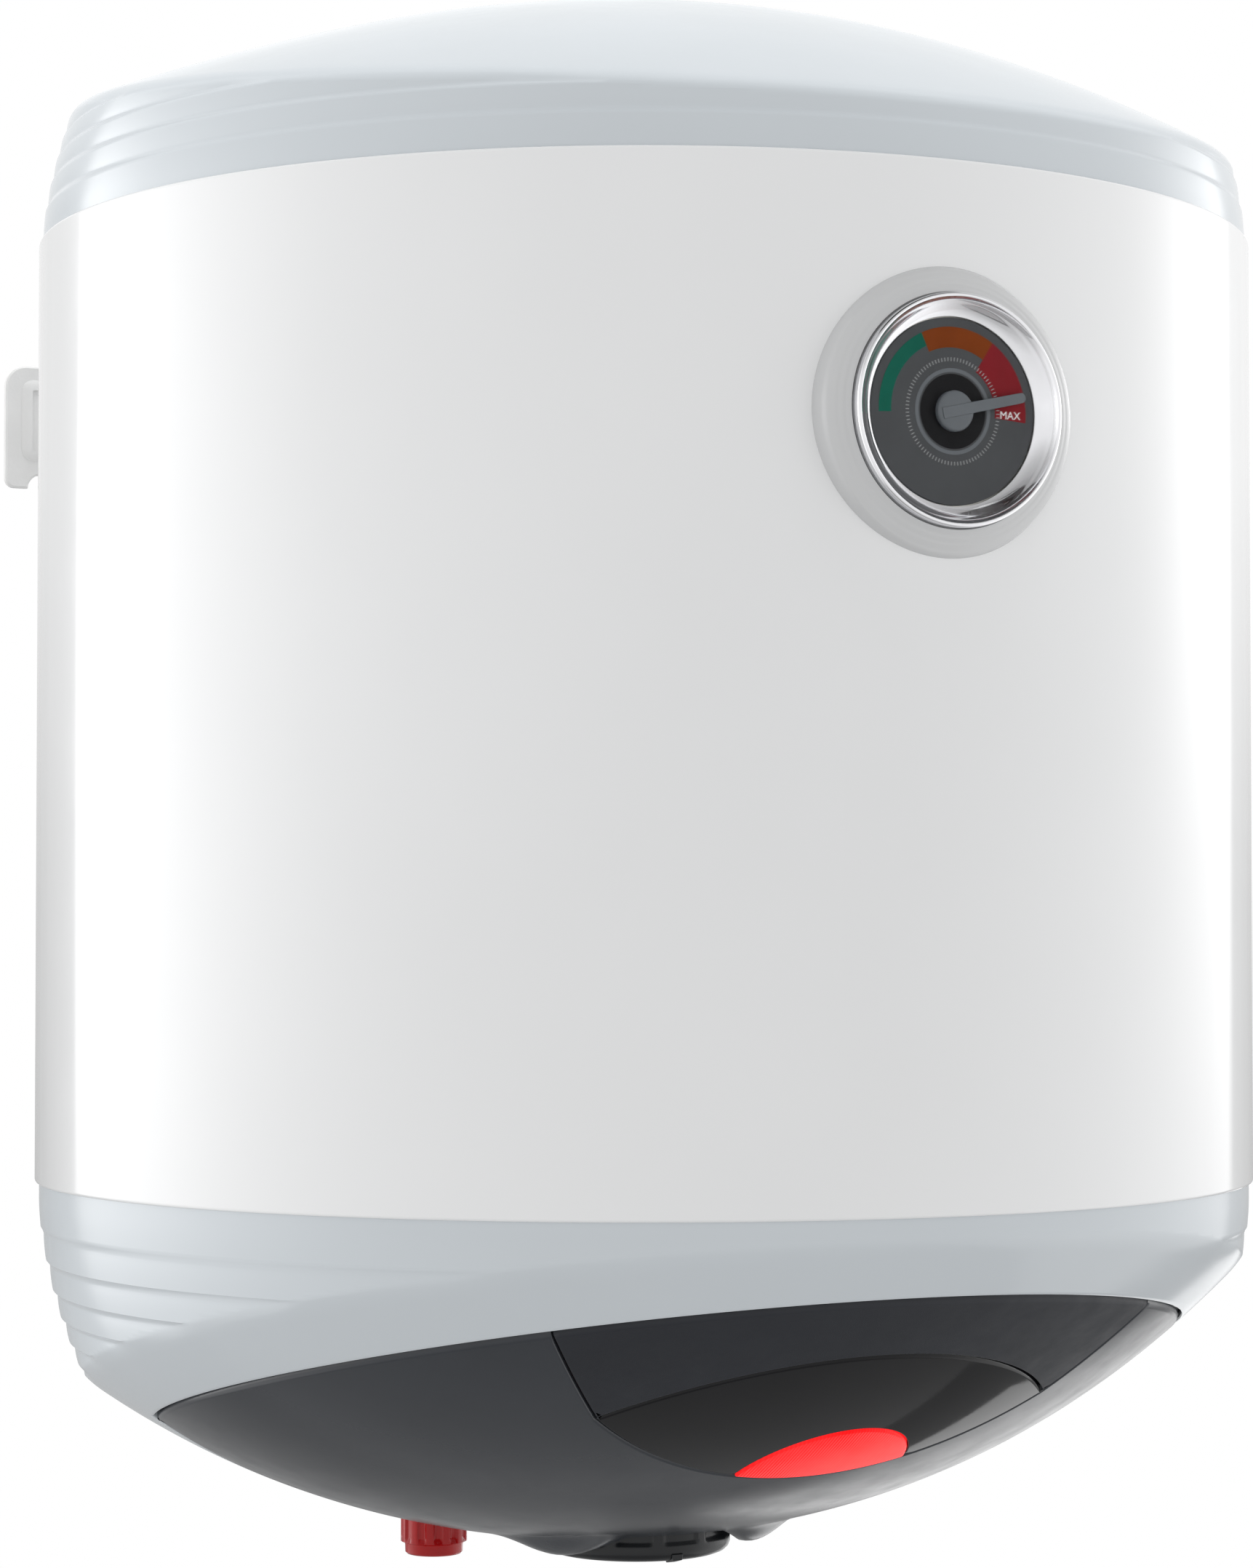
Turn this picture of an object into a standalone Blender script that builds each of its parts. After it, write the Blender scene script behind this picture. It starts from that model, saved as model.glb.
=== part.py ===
"""Wall-hung electric storage water heater, 450 mm across, modelled as its separate pieces.

Every piece hangs under the empty heater_axis. In that local frame +Z is up, the jacket's axis is
the Z axis, z = 0 is the jacket's lower edge, and the front, with the gauge, faces -Y. The empty is
placed so that the world origin is the middle of the wall bracket's rear face.
"""

from math import atan2, cos, hypot, pi, radians, sin, sqrt

import bmesh
import bpy
from mathutils import Matrix, Vector

# ---------------------------------------------------------------- driving dimensions (metres)
GAP = 0.0003
SEGMENTS = 40
HIDDEN_SEGMENTS = 24

JACKET_RADIUS = 0.2250
JACKET_HEIGHT = 0.3430
SHEET = 0.0010
CAP_WALL = 0.0030
CAP_RADIUS = JACKET_RADIUS - SHEET - 0.0006
CAP_LAP = 0.0120

TOP_CREASE_Z = 0.3879
TOP_SLOPE = 0.1064
TOP_RISE = 0.0462
LOW_CREASE_Z = -0.0615
LOW_SLOPE = 0.2361
LOW_DEPTH = 0.0731

COVER_WALL = 0.0025
COVER_GAP = 0.0008
LEAF_REAR_Y = 0.0580
REAR_BEND = 0.5730
LEDGE = 0.0100
SEAM_TOP = (0.1145, -0.1670)
PANEL_TIP = (0.0862, -0.1408)
PANEL_FRONT_Y = -0.1848
PANEL_REAR_Y = -0.1195
LAMP_CENTRE = (0.0080, -0.1165)
LAMP_RADIUS = 0.0332
LAMP_STANDS_PROUD = 0.0006
SCREW_X, SCREW_Y = 0.0950, 0.0440

KNOB_Y = 0.0070
KNOB_RADIUS = 0.0354
KNOB_LOW_Z = -0.1396
KNOB_HIGH_Z = -0.1122
KNOB_GRIPS = 12
SPINDLE_HOLE = 0.0075
POCKET_RADIUS = 0.0380
POCKET_FLOOR_Z = -0.1095
LOBE_RADIUS = 0.0440
LOBE_ANGLE = radians(63)
LOBE_HEIGHT = 0.0060

TANK_RADIUS = 0.1930
TANK_WALL = 0.0025
TANK_HEAD = 0.0480
TANK_LOW_Z = 0.0000
TANK_HIGH_Z = 0.3450
NECK_RADIUS = 0.0620
MOUTH_RADIUS = 0.0450
FLANGE_SEAT_Z = -0.0560
PLATE_THICKNESS = 0.0040
GASKET_THICKNESS = 0.0030
BOLT_CIRCLE = 0.0530
BOLT_COUNT = 6
THERMOSTAT_LOW_Z = -0.1020
THERMOSTAT_HIGH_Z = FLANGE_SEAT_Z - GASKET_THICKNESS - PLATE_THICKNESS - 4 * GAP
RESET_X = 0.0130
ELEMENT_HALF, ELEMENT_Y, ELEMENT_RADIUS = 0.0200, -0.0260, 0.0042
ANODE_Y = 0.0370

PIPE_PITCH = 0.1000
PIPE_Y = 0.0820
PIPE_RADIUS = 0.0104
PIPE_BORE = 0.0080
PIPE_END_Z = -0.1450
PORT_CAP_RADIUS = 0.01275
PORT_CAP_LOW_Z = -0.1490
GLAND_X, GLAND_Y, GLAND_RADIUS = 0.0, 0.1050, 0.0080

GAUGE_Z = 0.2600
GAUGE = (0, 0, GAUGE_Z)
FACE = JACKET_RADIUS
DIAL_RADIUS = 0.0305
POINTER_ANGLE = radians(10)

BRACKET_HALF_WIDTH = 0.1775
BRACKET_HEIGHT = 0.0446
BRACKET_Z = 0.3000
BRACKET_SHEET = 0.0030
BRACKET_REAR_Y = 0.2350
BRACKET_BOLT_X = 0.0900
HOOK_X = 0.1450
SPACER_RADIUS = 0.0085
JACKET_AT_SPACER = sqrt(JACKET_RADIUS**2 - (BRACKET_BOLT_X - SPACER_RADIUS) ** 2)

TO_FRONT = Matrix.Rotation(radians(90), 4, "X")
TO_BACK = Matrix.Rotation(radians(-90), 4, "X")


# ---------------------------------------------------------------- materials
def material(name, colour, roughness, metallic=0.0, transmission=0.0):
    made = bpy.data.materials.new(name)
    made.use_nodes = True
    shader = made.node_tree.nodes["Principled BSDF"]
    shader.inputs["Base Color"].default_value = (*colour, 1.0)
    shader.inputs["Roughness"].default_value = roughness
    shader.inputs["Metallic"].default_value = metallic
    shader.inputs["Transmission Weight"].default_value = transmission
    made.diffuse_color = (*colour, 1.0)
    return made


# ---------------------------------------------------------------- modelling helpers
def place(name, bm, paint, location=(0, 0, 0)):
    """Turns a bmesh into an object under the heater's axis."""
    bmesh.ops.remove_doubles(bm, verts=bm.verts, dist=1e-7)
    bmesh.ops.recalc_face_normals(bm, faces=bm.faces)
    mesh = bpy.data.meshes.new(name)
    bm.to_mesh(mesh)
    bm.free()
    made = bpy.data.objects.new(name, mesh)
    bpy.context.scene.collection.objects.link(made)
    made.location = location
    made.parent = AXIS
    if paint:
        mesh.materials.append(paint)
    return made


def revolve(name, profile, paint, location=(0, 0, 0), segments=SEGMENTS, loop=False, tilt=None):
    """Spins (radius, height) points about Z. A loop profile is a ring, and an open one starts
    and ends on the axis."""
    bm = bmesh.new()
    points = [bm.verts.new((0, -radius, height)) for radius, height in profile]
    pairs = list(zip(points, points[1:])) + ([(points[-1], points[0])] if loop else [])
    edges = [bm.edges.new(pair) for pair in pairs]
    bmesh.ops.spin(bm, geom=points + edges, cent=(0, 0, 0), axis=(0, 0, 1),
                   angle=2 * pi, steps=segments, use_merge=True)
    bmesh.ops.remove_doubles(bm, verts=bm.verts, dist=1e-6)
    if tilt:
        bmesh.ops.transform(bm, matrix=tilt, verts=bm.verts)
    return place(name, bm, paint, location)


def tube(name, outer, inner, low, high, paint, location=(0, 0, 0), segments=32, tilt=None):
    profile = [(inner, low), (outer, low), (outer, high), (inner, high)]
    return revolve(name, profile, paint, location, segments, loop=True, tilt=tilt)


def rod(name, radius, low, high, paint, location=(0, 0, 0), segments=24, tilt=None, edge=0.0):
    profile = [(0, low), (radius - edge, low), (radius, low + edge),
               (radius, high - edge), (radius - edge, high), (0, high)]
    return revolve(name, profile, paint, location, segments, tilt=tilt)


def loft(name, rings, paint, location=(0, 0, 0), closed=False):
    """Skins rings of equal length one after another. It caps both ends, or joins them if closed."""
    bm = bmesh.new()
    loops = [[bm.verts.new(point) for point in ring] for ring in rings]
    count = len(loops[0])
    for low, high in zip(loops, loops[1:] + (loops[:1] if closed else [])):
        for i in range(count):
            j = (i + 1) % count
            bm.faces.new((low[i], low[j], high[j], high[i]))
    for ring in () if closed else (loops[0], loops[-1]):
        middle = bm.verts.new(sum((v.co for v in ring), Vector()) / count)
        for i in range(count):
            bm.faces.new((ring[i], ring[(i + 1) % count], middle))
    return place(name, bm, paint, location)


def prism(name, outline, low, high, paint=None):
    """Extrudes a plan outline of (x, y) points between two heights."""
    rings = [[(x, y, z) for x, y in outline] for z in (low, high)]
    return loft(name, rings, paint)


def box(name, size, centre, paint, edge=0.0):
    bm = bmesh.new()
    bmesh.ops.create_cube(bm, size=1.0)
    bmesh.ops.scale(bm, vec=size, verts=bm.verts)
    if edge:
        bmesh.ops.bevel(bm, geom=bm.edges[:], offset=edge, segments=2, affect="EDGES")
    return place(name, bm, paint, centre)


def combine(target, other, operation):
    """Adds a Boolean to target and hides the other object from the render."""
    step = target.modifiers.new(operation.lower(), "BOOLEAN")
    step.operation = operation
    step.solver = "EXACT"
    step.object = other
    other.hide_render = True
    other.display_type = "WIRE"
    return target


def cut(target, *tools):
    for tool in tools:
        combine(target, tool, "DIFFERENCE")
    return target


def add(target, *tools):
    for tool in tools:
        combine(target, tool, "UNION")
    return target


def sweep(name, points, radius, paint, sides=3):
    """A round bar along a smooth path, with filled ends."""
    curve = bpy.data.curves.new(name, "CURVE")
    curve.dimensions = "3D"
    curve.bevel_depth = radius
    curve.bevel_resolution = sides
    curve.resolution_u = 6
    curve.use_fill_caps = True
    line = curve.splines.new("BEZIER")
    line.bezier_points.add(len(points) - 1)
    for spot, point in zip(line.bezier_points, points):
        spot.co = point
        spot.handle_left_type = "AUTO"
        spot.handle_right_type = "AUTO"
    curve.materials.append(paint)
    made = bpy.data.objects.new(name, curve)
    bpy.context.scene.collection.objects.link(made)
    made.parent = AXIS
    return made


# ---------------------------------------------------------------- the two tilted end surfaces
def polar(x, y):
    """Distance from the axis, and the angle from the front towards the right."""
    return hypot(x, y), atan2(x, -y)


def low_crease_radius(angle):
    return 0.2052 + 0.0189 * cos(angle) - 0.0020 * cos(2 * angle)


def top_crease_radius(angle):
    return 0.2127 + 0.0073 * cos(angle)


def bowl_z(x, y):
    """Underside of the heater: a smooth bowl hung from a plane that rises towards the front."""
    radius, angle = polar(x, y)
    rho = radius / low_crease_radius(angle)
    bulge = 1 + 0.16 * rho**2 + 0.32 * rho * cos(angle)
    return LOW_CREASE_Z - LOW_SLOPE * y - LOW_DEPTH * (1 - rho**2) * bulge


def dome_z(x, y):
    """Top of the heater: a smooth dome on a plane that falls towards the front."""
    radius, angle = polar(x, y)
    rho = radius / top_crease_radius(angle)
    bulge = 1 - 0.09 * rho**2 + 0.30 * rho * cos(angle)
    return TOP_CREASE_Z + TOP_SLOPE * y + TOP_RISE * (1 - rho**2) * bulge


def lobe_drop(x, y):
    """How far the two finger lobes beside the knob hang below the bowl."""
    radius, angle = polar(x, y - KNOB_Y)
    across = max(0.0, 1 - ((radius - LOBE_RADIUS) / 0.0150) ** 2)
    along = max(0.0, 1 - ((abs(angle) - LOBE_ANGLE) / radians(34)) ** 2)
    return LOBE_HEIGHT * across**1.5 * along**1.5


def cover_z(x, y):
    return bowl_z(x, y) - lobe_drop(x, y)


def leaf_outline(spread=0.0):
    """Plan outline of the service opening: a leaf that runs along the bowl's rim and closes in a
    shallow arc in front of the pipes. Spread moves both edges outwards."""
    def front(angle):
        radius = low_crease_radius(angle) * (0.900 + 0.021 * cos(angle)) + spread
        return Vector((radius * sin(angle), -radius * cos(angle)))

    def rear_y(x):
        return LEAF_REAR_Y + spread - REAR_BEND + sqrt(REAR_BEND**2 - x**2)

    low, high = radians(60), radians(125)
    for _ in range(40):
        middle = (low + high) / 2
        point = front(middle)
        low, high = (middle, high) if point.y < rear_y(point.x) else (low, middle)
    outline = [front(low * (i / 16 - 1)) for i in range(33)]
    half = outline[-1].x
    for i in range(1, 10):
        x = half * cos(pi * i / 10)
        outline.append(Vector((x, rear_y(x))))
    return outline


def spread_outline(points, spread):
    """Moves each point of a closed outline along its outward normal."""
    turn = sum(a.x * b.y - a.y * b.x for a, b in zip(points, points[1:] + points[:1]))
    side = 1 if turn > 0 else -1
    moved = []
    for i, point in enumerate(points):
        along = (points[(i + 1) % len(points)] - points[i - 1]).normalized()
        moved.append(point + Vector((along.y, -along.x)) * spread * side)
    return moved


def panel_arc(middle_y, steps=12):
    """Points of the circular arc from tip to tip of the indicator panel through (0, middle_y)."""
    half, tip_y = PANEL_TIP
    sag = middle_y - tip_y
    bend = (half**2 + sag**2) / (2 * abs(sag))
    points = []
    for i in range(steps + 1):
        x = half * cos(pi * i / steps)
        dip = bend - sqrt(bend**2 - x**2)
        points.append(Vector((x, middle_y - dip if sag > 0 else middle_y + dip)))
    return points


def lens_outline(spread=0.0):
    """Plan outline of the black indicator panel: two arcs that meet in a tip on each side."""
    front, rear = panel_arc(PANEL_FRONT_Y), panel_arc(PANEL_REAR_Y)
    return spread_outline(front + rear[-2:0:-1], spread)


def apron_outline(spread=0.0):
    """Plan outline of the whole front insert: seams at both sides, open beyond the leaf's edge."""
    (seam_x, seam_y), (tip_x, tip_y) = SEAM_TOP, PANEL_TIP
    run = Vector((seam_x - tip_x, seam_y - tip_y))
    far = Vector((seam_x, seam_y)) + run * 3
    ends = [Vector((-far.x, far.y)), Vector((far.x, far.y))]
    return spread_outline(panel_arc(PANEL_REAR_Y) + ends, spread)


def circle(centre, radius, count=32):
    steps = [2 * pi * i / count for i in range(count)]
    return [Vector((centre[0] + radius * cos(t), centre[1] + radius * sin(t))) for t in steps]


def skin(name, surface, low, high, paint, radii, reach):
    """A closed shell between surface + low and surface + high over a disc about the axis. The
    radii are shares of reach, from the middle outwards."""
    rings = []
    for offset, order in ((low, radii), (high, radii[::-1])):
        for share in order:
            ring = []
            for i in range(SEGMENTS):
                angle = 2 * pi * (i + 0.37) / SEGMENTS
                radius = share * reach(angle)
                x, y = radius * sin(angle), -radius * cos(angle)
                ring.append((x, y, surface(x, y) + offset))
            rings.append(ring)
    return loft(name, rings, paint)


# ---------------------------------------------------------------- jacket and end caps
def ridged_side(start_z, end_z, pitch, shrink, count):
    """Profile of a cap's side: ridges that get shorter away from the jacket, each a nearly
    upright band and a small step in, and then a plain stretch. The side curves in all the way."""
    direction = 1 if end_z > start_z else -1
    lean, curl = (0.130, 2.40) if direction > 0 else (0.100, 2.70)

    def envelope(z):
        away = abs(z - start_z)
        return CAP_RADIUS - lean * away - curl * away**2

    points = [(CAP_RADIUS, start_z)]
    z = start_z
    for _ in range(count):
        band = z + direction * pitch * 0.78
        after = z + direction * pitch
        points.append((envelope(z) * 0.65 + envelope(after) * 0.35, band))
        points.append((envelope(after), after))
        z = after
        pitch *= shrink
    for _ in range(2):
        z += (end_z - z) / 2
        points.append((envelope(z), z))
    return points + [(envelope(end_z), end_z)]


def outer_jacket(paint):
    rim = 0.0012
    profile = [
        (JACKET_RADIUS - rim, 0),
        (JACKET_RADIUS, rim),
        (JACKET_RADIUS, JACKET_HEIGHT - rim),
        (JACKET_RADIUS - rim, JACKET_HEIGHT),
        (JACKET_RADIUS - rim, JACKET_HEIGHT - 0.0008),
        (JACKET_RADIUS - SHEET, JACKET_HEIGHT - rim - 0.0008),
        (JACKET_RADIUS - SHEET, rim + 0.0008),
        (JACKET_RADIUS - rim, 0.0008),
    ]
    jacket = revolve("outer_jacket", profile, paint, loop=True)
    cut(jacket, rod("gauge_hole", 0.0345, 0.190, 0.240, None, tilt=TO_FRONT, location=(0, 0, GAUGE_Z)))
    for side in (-1, 1):
        spot = (side * BRACKET_BOLT_X, 0, BRACKET_Z)
        cut(jacket, rod("stud_hole", 0.0065, 0.190, 0.240, None, tilt=TO_BACK, location=spot))
    return jacket


def top_cap(paint):
    start, end, low = JACKET_HEIGHT + 0.0031, 0.4180, JACKET_HEIGHT - CAP_LAP
    side = ridged_side(start, end, 0.0105, 0.90, 6)
    profile = [(0, low), (CAP_RADIUS, low)] + side + [(0.1900, 0.4450), (0, 0.4450)]
    cap = revolve("top_cap", profile, paint)
    shares = [0.06, 0.25, 0.45, 0.64, 0.82, 0.94, 1.02, 1.15]
    combine(cap, skin("dome_limit", dome_z, -0.2, 0, None, shares, top_crease_radius), "INTERSECT")
    inside = [(radius - CAP_WALL, z) for radius, z in ridged_side(start, end, 0, 1, 0)]
    profile = [(0, low - 0.01), (CAP_RADIUS - CAP_WALL, low - 0.01)] + inside + [(0, 0.4450)]
    hollow = revolve("top_hollow", profile, None)
    limit = skin("top_ceiling", dome_z, -0.3, -CAP_WALL, None, [0.07, 0.40, 0.75, 1.0, 1.15],
                 top_crease_radius)
    return cut(cap, combine(hollow, limit, "INTERSECT"))


def screw_axis(side):
    """A cover screw's spot on the bowl's surface, and the turn that points it into the heater."""
    x, y, step = side * SCREW_X, SCREW_Y, 0.0005
    slope_x = (bowl_z(x + step, y) - bowl_z(x - step, y)) / (2 * step)
    slope_y = (bowl_z(x, y + step) - bowl_z(x, y - step)) / (2 * step)
    turn = Vector((0, 0, 1)).rotation_difference(Vector((-slope_x, -slope_y, 1)))
    return (x, y, bowl_z(x, y)), turn.to_matrix().to_4x4()


def bottom_cap(paint):
    start, end = -0.0059, -0.1100
    side = ridged_side(start, end, 0.0130, 0.905, 8)
    profile = [(0, CAP_LAP), (CAP_RADIUS, CAP_LAP)] + side + [(0.1500, -0.1480), (0, -0.1480)]
    cap = revolve("bottom_cap", profile, paint)
    shares = [0.06, 0.25, 0.45, 0.64, 0.80, 0.92, 1.02, 1.25]
    combine(cap, skin("bowl_limit", bowl_z, 0, 0.3, None, shares, low_crease_radius), "INTERSECT")
    inside = [(radius - CAP_WALL, z) for radius, z in ridged_side(start, end, 0, 1, 0)]
    profile = [(0, 0.03), (CAP_RADIUS - CAP_WALL, 0.03)] + inside + [(0, -0.1480)]
    hollow = revolve("low_hollow", profile, None)
    limit = skin("low_floor", bowl_z, CAP_WALL + 0.0018, 0.4, None, [0.07, 0.35, 0.65, 0.88, 1.02, 1.25],
                 low_crease_radius)
    opening = prism("leaf_opening", leaf_outline(COVER_GAP), -0.20, 0.0)
    cut(cap, combine(hollow, limit, "INTERSECT"), opening)
    ledge = skin("ledge", bowl_z, COVER_WALL + 0.0012, COVER_WALL + 0.0042, None,
                 [0.07, 0.35, 0.55, 0.70, 0.80, 0.90, 0.98], low_crease_radius)
    combine(ledge, prism("ledge_outside", leaf_outline(0.0060), -0.20, 0.0), "INTERSECT")
    cut(ledge, prism("ledge_inside", leaf_outline(-LEDGE), -0.21, 0.01))
    add(cap, ledge)
    for side_x in (-1, 1):
        x = side_x * PIPE_PITCH / 2
        cut(cap, rod("pipe_hole", 0.0135, -0.20, 0.0, None, location=(x, PIPE_Y, 0)))
        spot, turn = screw_axis(side_x)
        cut(cap, rod("screw_pilot", 0.0016, 0.0, 0.0120, None, spot, 12, turn))
    cut(cap, rod("gland_hole", GLAND_RADIUS + GAP, -0.20, 0.0, None, location=(GLAND_X, GLAND_Y, 0)))
    return cap


# ---------------------------------------------------------------- service cover and its inserts
def knob_pocket():
    """Cup round the knob: floor with the spindle's hole, and a wall that ends at the cover's skin."""
    wall = 0.0020
    corners = [(SPINDLE_HOLE, POCKET_FLOOR_Z), (SPINDLE_HOLE, POCKET_FLOOR_Z + wall),
               (POCKET_RADIUS + wall, POCKET_FLOOR_Z + wall), (POCKET_RADIUS + wall, None),
               (POCKET_RADIUS, None), (POCKET_RADIUS, POCKET_FLOOR_Z)]
    rings = []
    for radius, height in corners:
        ring = []
        for x, y in circle((0, KNOB_Y), radius, 32):
            ring.append((x, y, cover_z(x, y) - 0.0003 if height is None else height))
        rings.append(ring)
    return loft("knob_pocket", rings, None, closed=True)


def service_cover(paint):
    shares = [0.05, 0.14, 0.18, 0.21, 0.24, 0.29, 0.42, 0.58, 0.74, 0.88, 1.0]
    cover = skin("service_cover", cover_z, 0, COVER_WALL, paint, shares, low_crease_radius)
    combine(cover, prism("cover_limit", leaf_outline(), -0.20, 0.0), "INTERSECT")
    cut(cover, prism("apron_opening", apron_outline(0.0007), -0.21, 0.01))
    well = rod("pocket_well", POCKET_RADIUS + 0.0009, -0.20, -0.05, None, (0, KNOB_Y, 0), 32)
    add(cut(cover, well), knob_pocket())
    for side in (-1, 1):
        spot, turn = screw_axis(side)
        hole = [(0, -0.0040), (0.0032, -0.0040), (0.0032, 0.0004), (0.0018, 0.0018), (0.0018, 0.0080),
                (0, 0.0080)]
        cut(cover, revolve("screw_hole", hole, None, spot, 20, tilt=turn))
    return cover


def cover_screw(name, side, paint):
    """Countersunk screw, flush with the cover's skin, with a hexagon socket."""
    spot, turn = screw_axis(side)
    profile = [(0, 0.0003), (0.0028, 0.0003), (0.0029, 0.0005), (0.0015, 0.0018), (0.0013, 0.0022),
               (0.0013, 0.0115), (0, 0.0130)]
    screw = revolve(name, profile, paint, spot, 20, tilt=turn)
    return cut(screw, rod("socket", 0.0012, -0.0010, 0.0014, None, spot, 6, turn))


def control_panel(paint):
    shares = [0.60, 0.68, 0.76, 0.84, 0.92, 1.0]
    panel = skin("control_panel", bowl_z, 0, COVER_WALL, paint, shares, low_crease_radius)
    combine(panel, prism("panel_limit", leaf_outline(), -0.20, 0.0), "INTERSECT")
    combine(panel, prism("panel_sides", apron_outline(), -0.21, 0.01), "INTERSECT")
    return cut(panel, prism("lens_space", lens_outline(GAP), -0.22, 0.02))


def indicator_panel(paint):
    shares = [0.42, 0.52, 0.60, 0.68, 0.76, 0.86]
    panel = skin("indicator_panel", bowl_z, 0, COVER_WALL, paint, shares, low_crease_radius)
    combine(panel, prism("lens_limit", lens_outline(), -0.20, 0.0), "INTERSECT")
    return cut(panel, prism("lamp_space", circle(LAMP_CENTRE, LAMP_RADIUS + GAP), -0.22, 0.02))


def lamp_lens(paint):
    shares = [0.38, 0.46, 0.54, 0.62, 0.70, 0.78]
    lens = skin("pilot_lamp_lens", bowl_z, -LAMP_STANDS_PROUD, COVER_WALL, paint, shares,
                low_crease_radius)
    combine(lens, prism("lamp_round", circle(LAMP_CENTRE, LAMP_RADIUS), -0.22, 0.02), "INTERSECT")
    return combine(lens, prism("lamp_chord", lens_outline(), -0.20, 0.0), "INTERSECT")


def pilot_lamp(paint):
    x, y = LAMP_CENTRE[0], LAMP_CENTRE[1] - 0.0140
    low = bowl_z(x, y) + COVER_WALL + 0.0035
    profile = [(0, low - 0.0010), (0.0028, low), (0.0042, low + 0.0020), (0.0042, low + 0.0120),
               (0.0055, low + 0.0120), (0.0055, low + 0.0150), (0, low + 0.0150)]
    return revolve("pilot_lamp", profile, paint, (x, y, 0), segments=20)


# ---------------------------------------------------------------- knob, thermostat and cut-out
def thermostat_knob(paint):
    height = KNOB_HIGH_Z - KNOB_LOW_Z
    profile = [(0, 0), (KNOB_RADIUS - 0.0030, 0), (KNOB_RADIUS - 0.0006, 0.0014),
               (KNOB_RADIUS, 0.0034), (KNOB_RADIUS, height), (KNOB_RADIUS - 0.0022, height),
               (KNOB_RADIUS - 0.0022, 0.0045), (0.0062, 0.0045), (0.0062, height - 0.004),
               (0.0036, height - 0.004), (0.0036, 0.0070), (0, 0.0070)]
    knob = revolve("thermostat_knob", profile, paint, (0, KNOB_Y, KNOB_LOW_Z), segments=36)
    for i in range(KNOB_GRIPS):
        angle = 2 * pi * (i + 0.63) / KNOB_GRIPS
        reach = KNOB_RADIUS + 0.0010 - 0.0008
        centre = Vector((reach * sin(angle), KNOB_Y - reach * cos(angle), KNOB_LOW_Z + 0.0125))
        grip = box("grip", (0.0142, 0.0020, 0.0130), centre, None)
        grip.rotation_euler = (0, 0, angle)
        cut(knob, grip)
    nub = box("pointer_nub", (0.0040, 0.0042, 0.0040), (0, KNOB_Y - KNOB_RADIUS + 0.0032,
                                                       KNOB_LOW_Z + 0.0011), None)
    return add(knob, nub)


def thermostat_spindle(paint):
    low, high = KNOB_LOW_Z + 0.0073, THERMOSTAT_LOW_Z - GAP
    return rod("thermostat_spindle", 0.0033, low, high, paint, (0, KNOB_Y, 0), 20, edge=0.0006)


def thermostat_body(paint):
    size = (0.0400, 0.0400, THERMOSTAT_HIGH_Z - THERMOSTAT_LOW_Z)
    middle = (THERMOSTAT_HIGH_Z + THERMOSTAT_LOW_Z) / 2
    body = box("thermostat_body", size, (0, KNOB_Y, middle), paint, edge=0.0030)
    button = (RESET_X, KNOB_Y, 0)
    return cut(body, rod("reset_bore", 0.0042, -0.2, THERMOSTAT_LOW_Z + 0.0080, None, button, 20))


def reset_button(paint):
    profile = [(0, -0.0030), (0.0026, -0.0030), (0.0034, -0.0022), (0.0034, 0.0050), (0, 0.0050)]
    return revolve("reset_button", profile, paint, (RESET_X, KNOB_Y, THERMOSTAT_LOW_Z), segments=20)


def thermostat_probe(paint):
    low = THERMOSTAT_HIGH_Z + GAP
    return rod("thermostat_probe", 0.0040, low, low + 0.200, paint, (0, KNOB_Y, 0), 16, edge=0.001)


# ---------------------------------------------------------------- tank and what its flange carries
def tank_profile(radius, low, high, head, mouth):
    """Half section of a dished tank from its mouth round to the top of the axis."""
    points = [(mouth, low - head)]
    for i in range(1, 5):
        angle = pi / 2 * i / 5
        across = mouth + (radius - mouth) * sin(angle)
        points.append((across, low - head * cos(angle)))
    points.append((radius, low))
    for i in range(6):
        angle = pi / 2 * i / 5
        points.append((radius * cos(angle), high + head * sin(angle)))
    return points


def inner_tank(paint):
    head = TANK_HEAD
    outer = tank_profile(TANK_RADIUS, TANK_LOW_Z, TANK_HIGH_Z, head, NECK_RADIUS)
    inner = tank_profile(TANK_RADIUS - TANK_WALL, TANK_LOW_Z, TANK_HIGH_Z, head - TANK_WALL,
                         MOUTH_RADIUS)
    seat = [(MOUTH_RADIUS, FLANGE_SEAT_Z), (NECK_RADIUS, FLANGE_SEAT_Z)]
    profile = inner[::-1] + seat + outer
    tank = revolve("inner_tank", profile, paint, segments=HIDDEN_SEGMENTS)
    for side in (-1, 1):
        spot = (side * PIPE_PITCH / 2, PIPE_Y, 0)
        cut(tank, rod("socket", PIPE_RADIUS + GAP, -0.10, 0.02, None, spot))
        pad = (side * BRACKET_BOLT_X, 0, BRACKET_Z)
        reach = sqrt(TANK_RADIUS**2 - BRACKET_BOLT_X**2)
        add(tank, rod("stud_pad", 0.0095, reach - 0.0020, reach + 0.0100, None, pad, 20, TO_BACK))
    for angle in bolt_angles():
        spot = (BOLT_CIRCLE * sin(angle), BOLT_CIRCLE * cos(angle), 0)
        cut(tank, rod("thread", 0.0033, -0.10, FLANGE_SEAT_Z + 0.0060, None, spot, 8))
    return tank


def bolt_angles():
    return [2 * pi * (i + 0.47) / BOLT_COUNT for i in range(BOLT_COUNT)]


def flange_gasket(paint):
    high = FLANGE_SEAT_Z - GAP
    ring = tube("flange_gasket", NECK_RADIUS - 0.001, MOUTH_RADIUS, high - GASKET_THICKNESS, high,
                paint, segments=36)
    return cut(ring, *bolt_holes(0.0036))


def bolt_holes(radius):
    spots = [(BOLT_CIRCLE * sin(a), BOLT_CIRCLE * cos(a), 0) for a in bolt_angles()]
    return [rod("bolt_hole", radius, -0.2, 0.0, None, spot, 8) for spot in spots]


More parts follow.
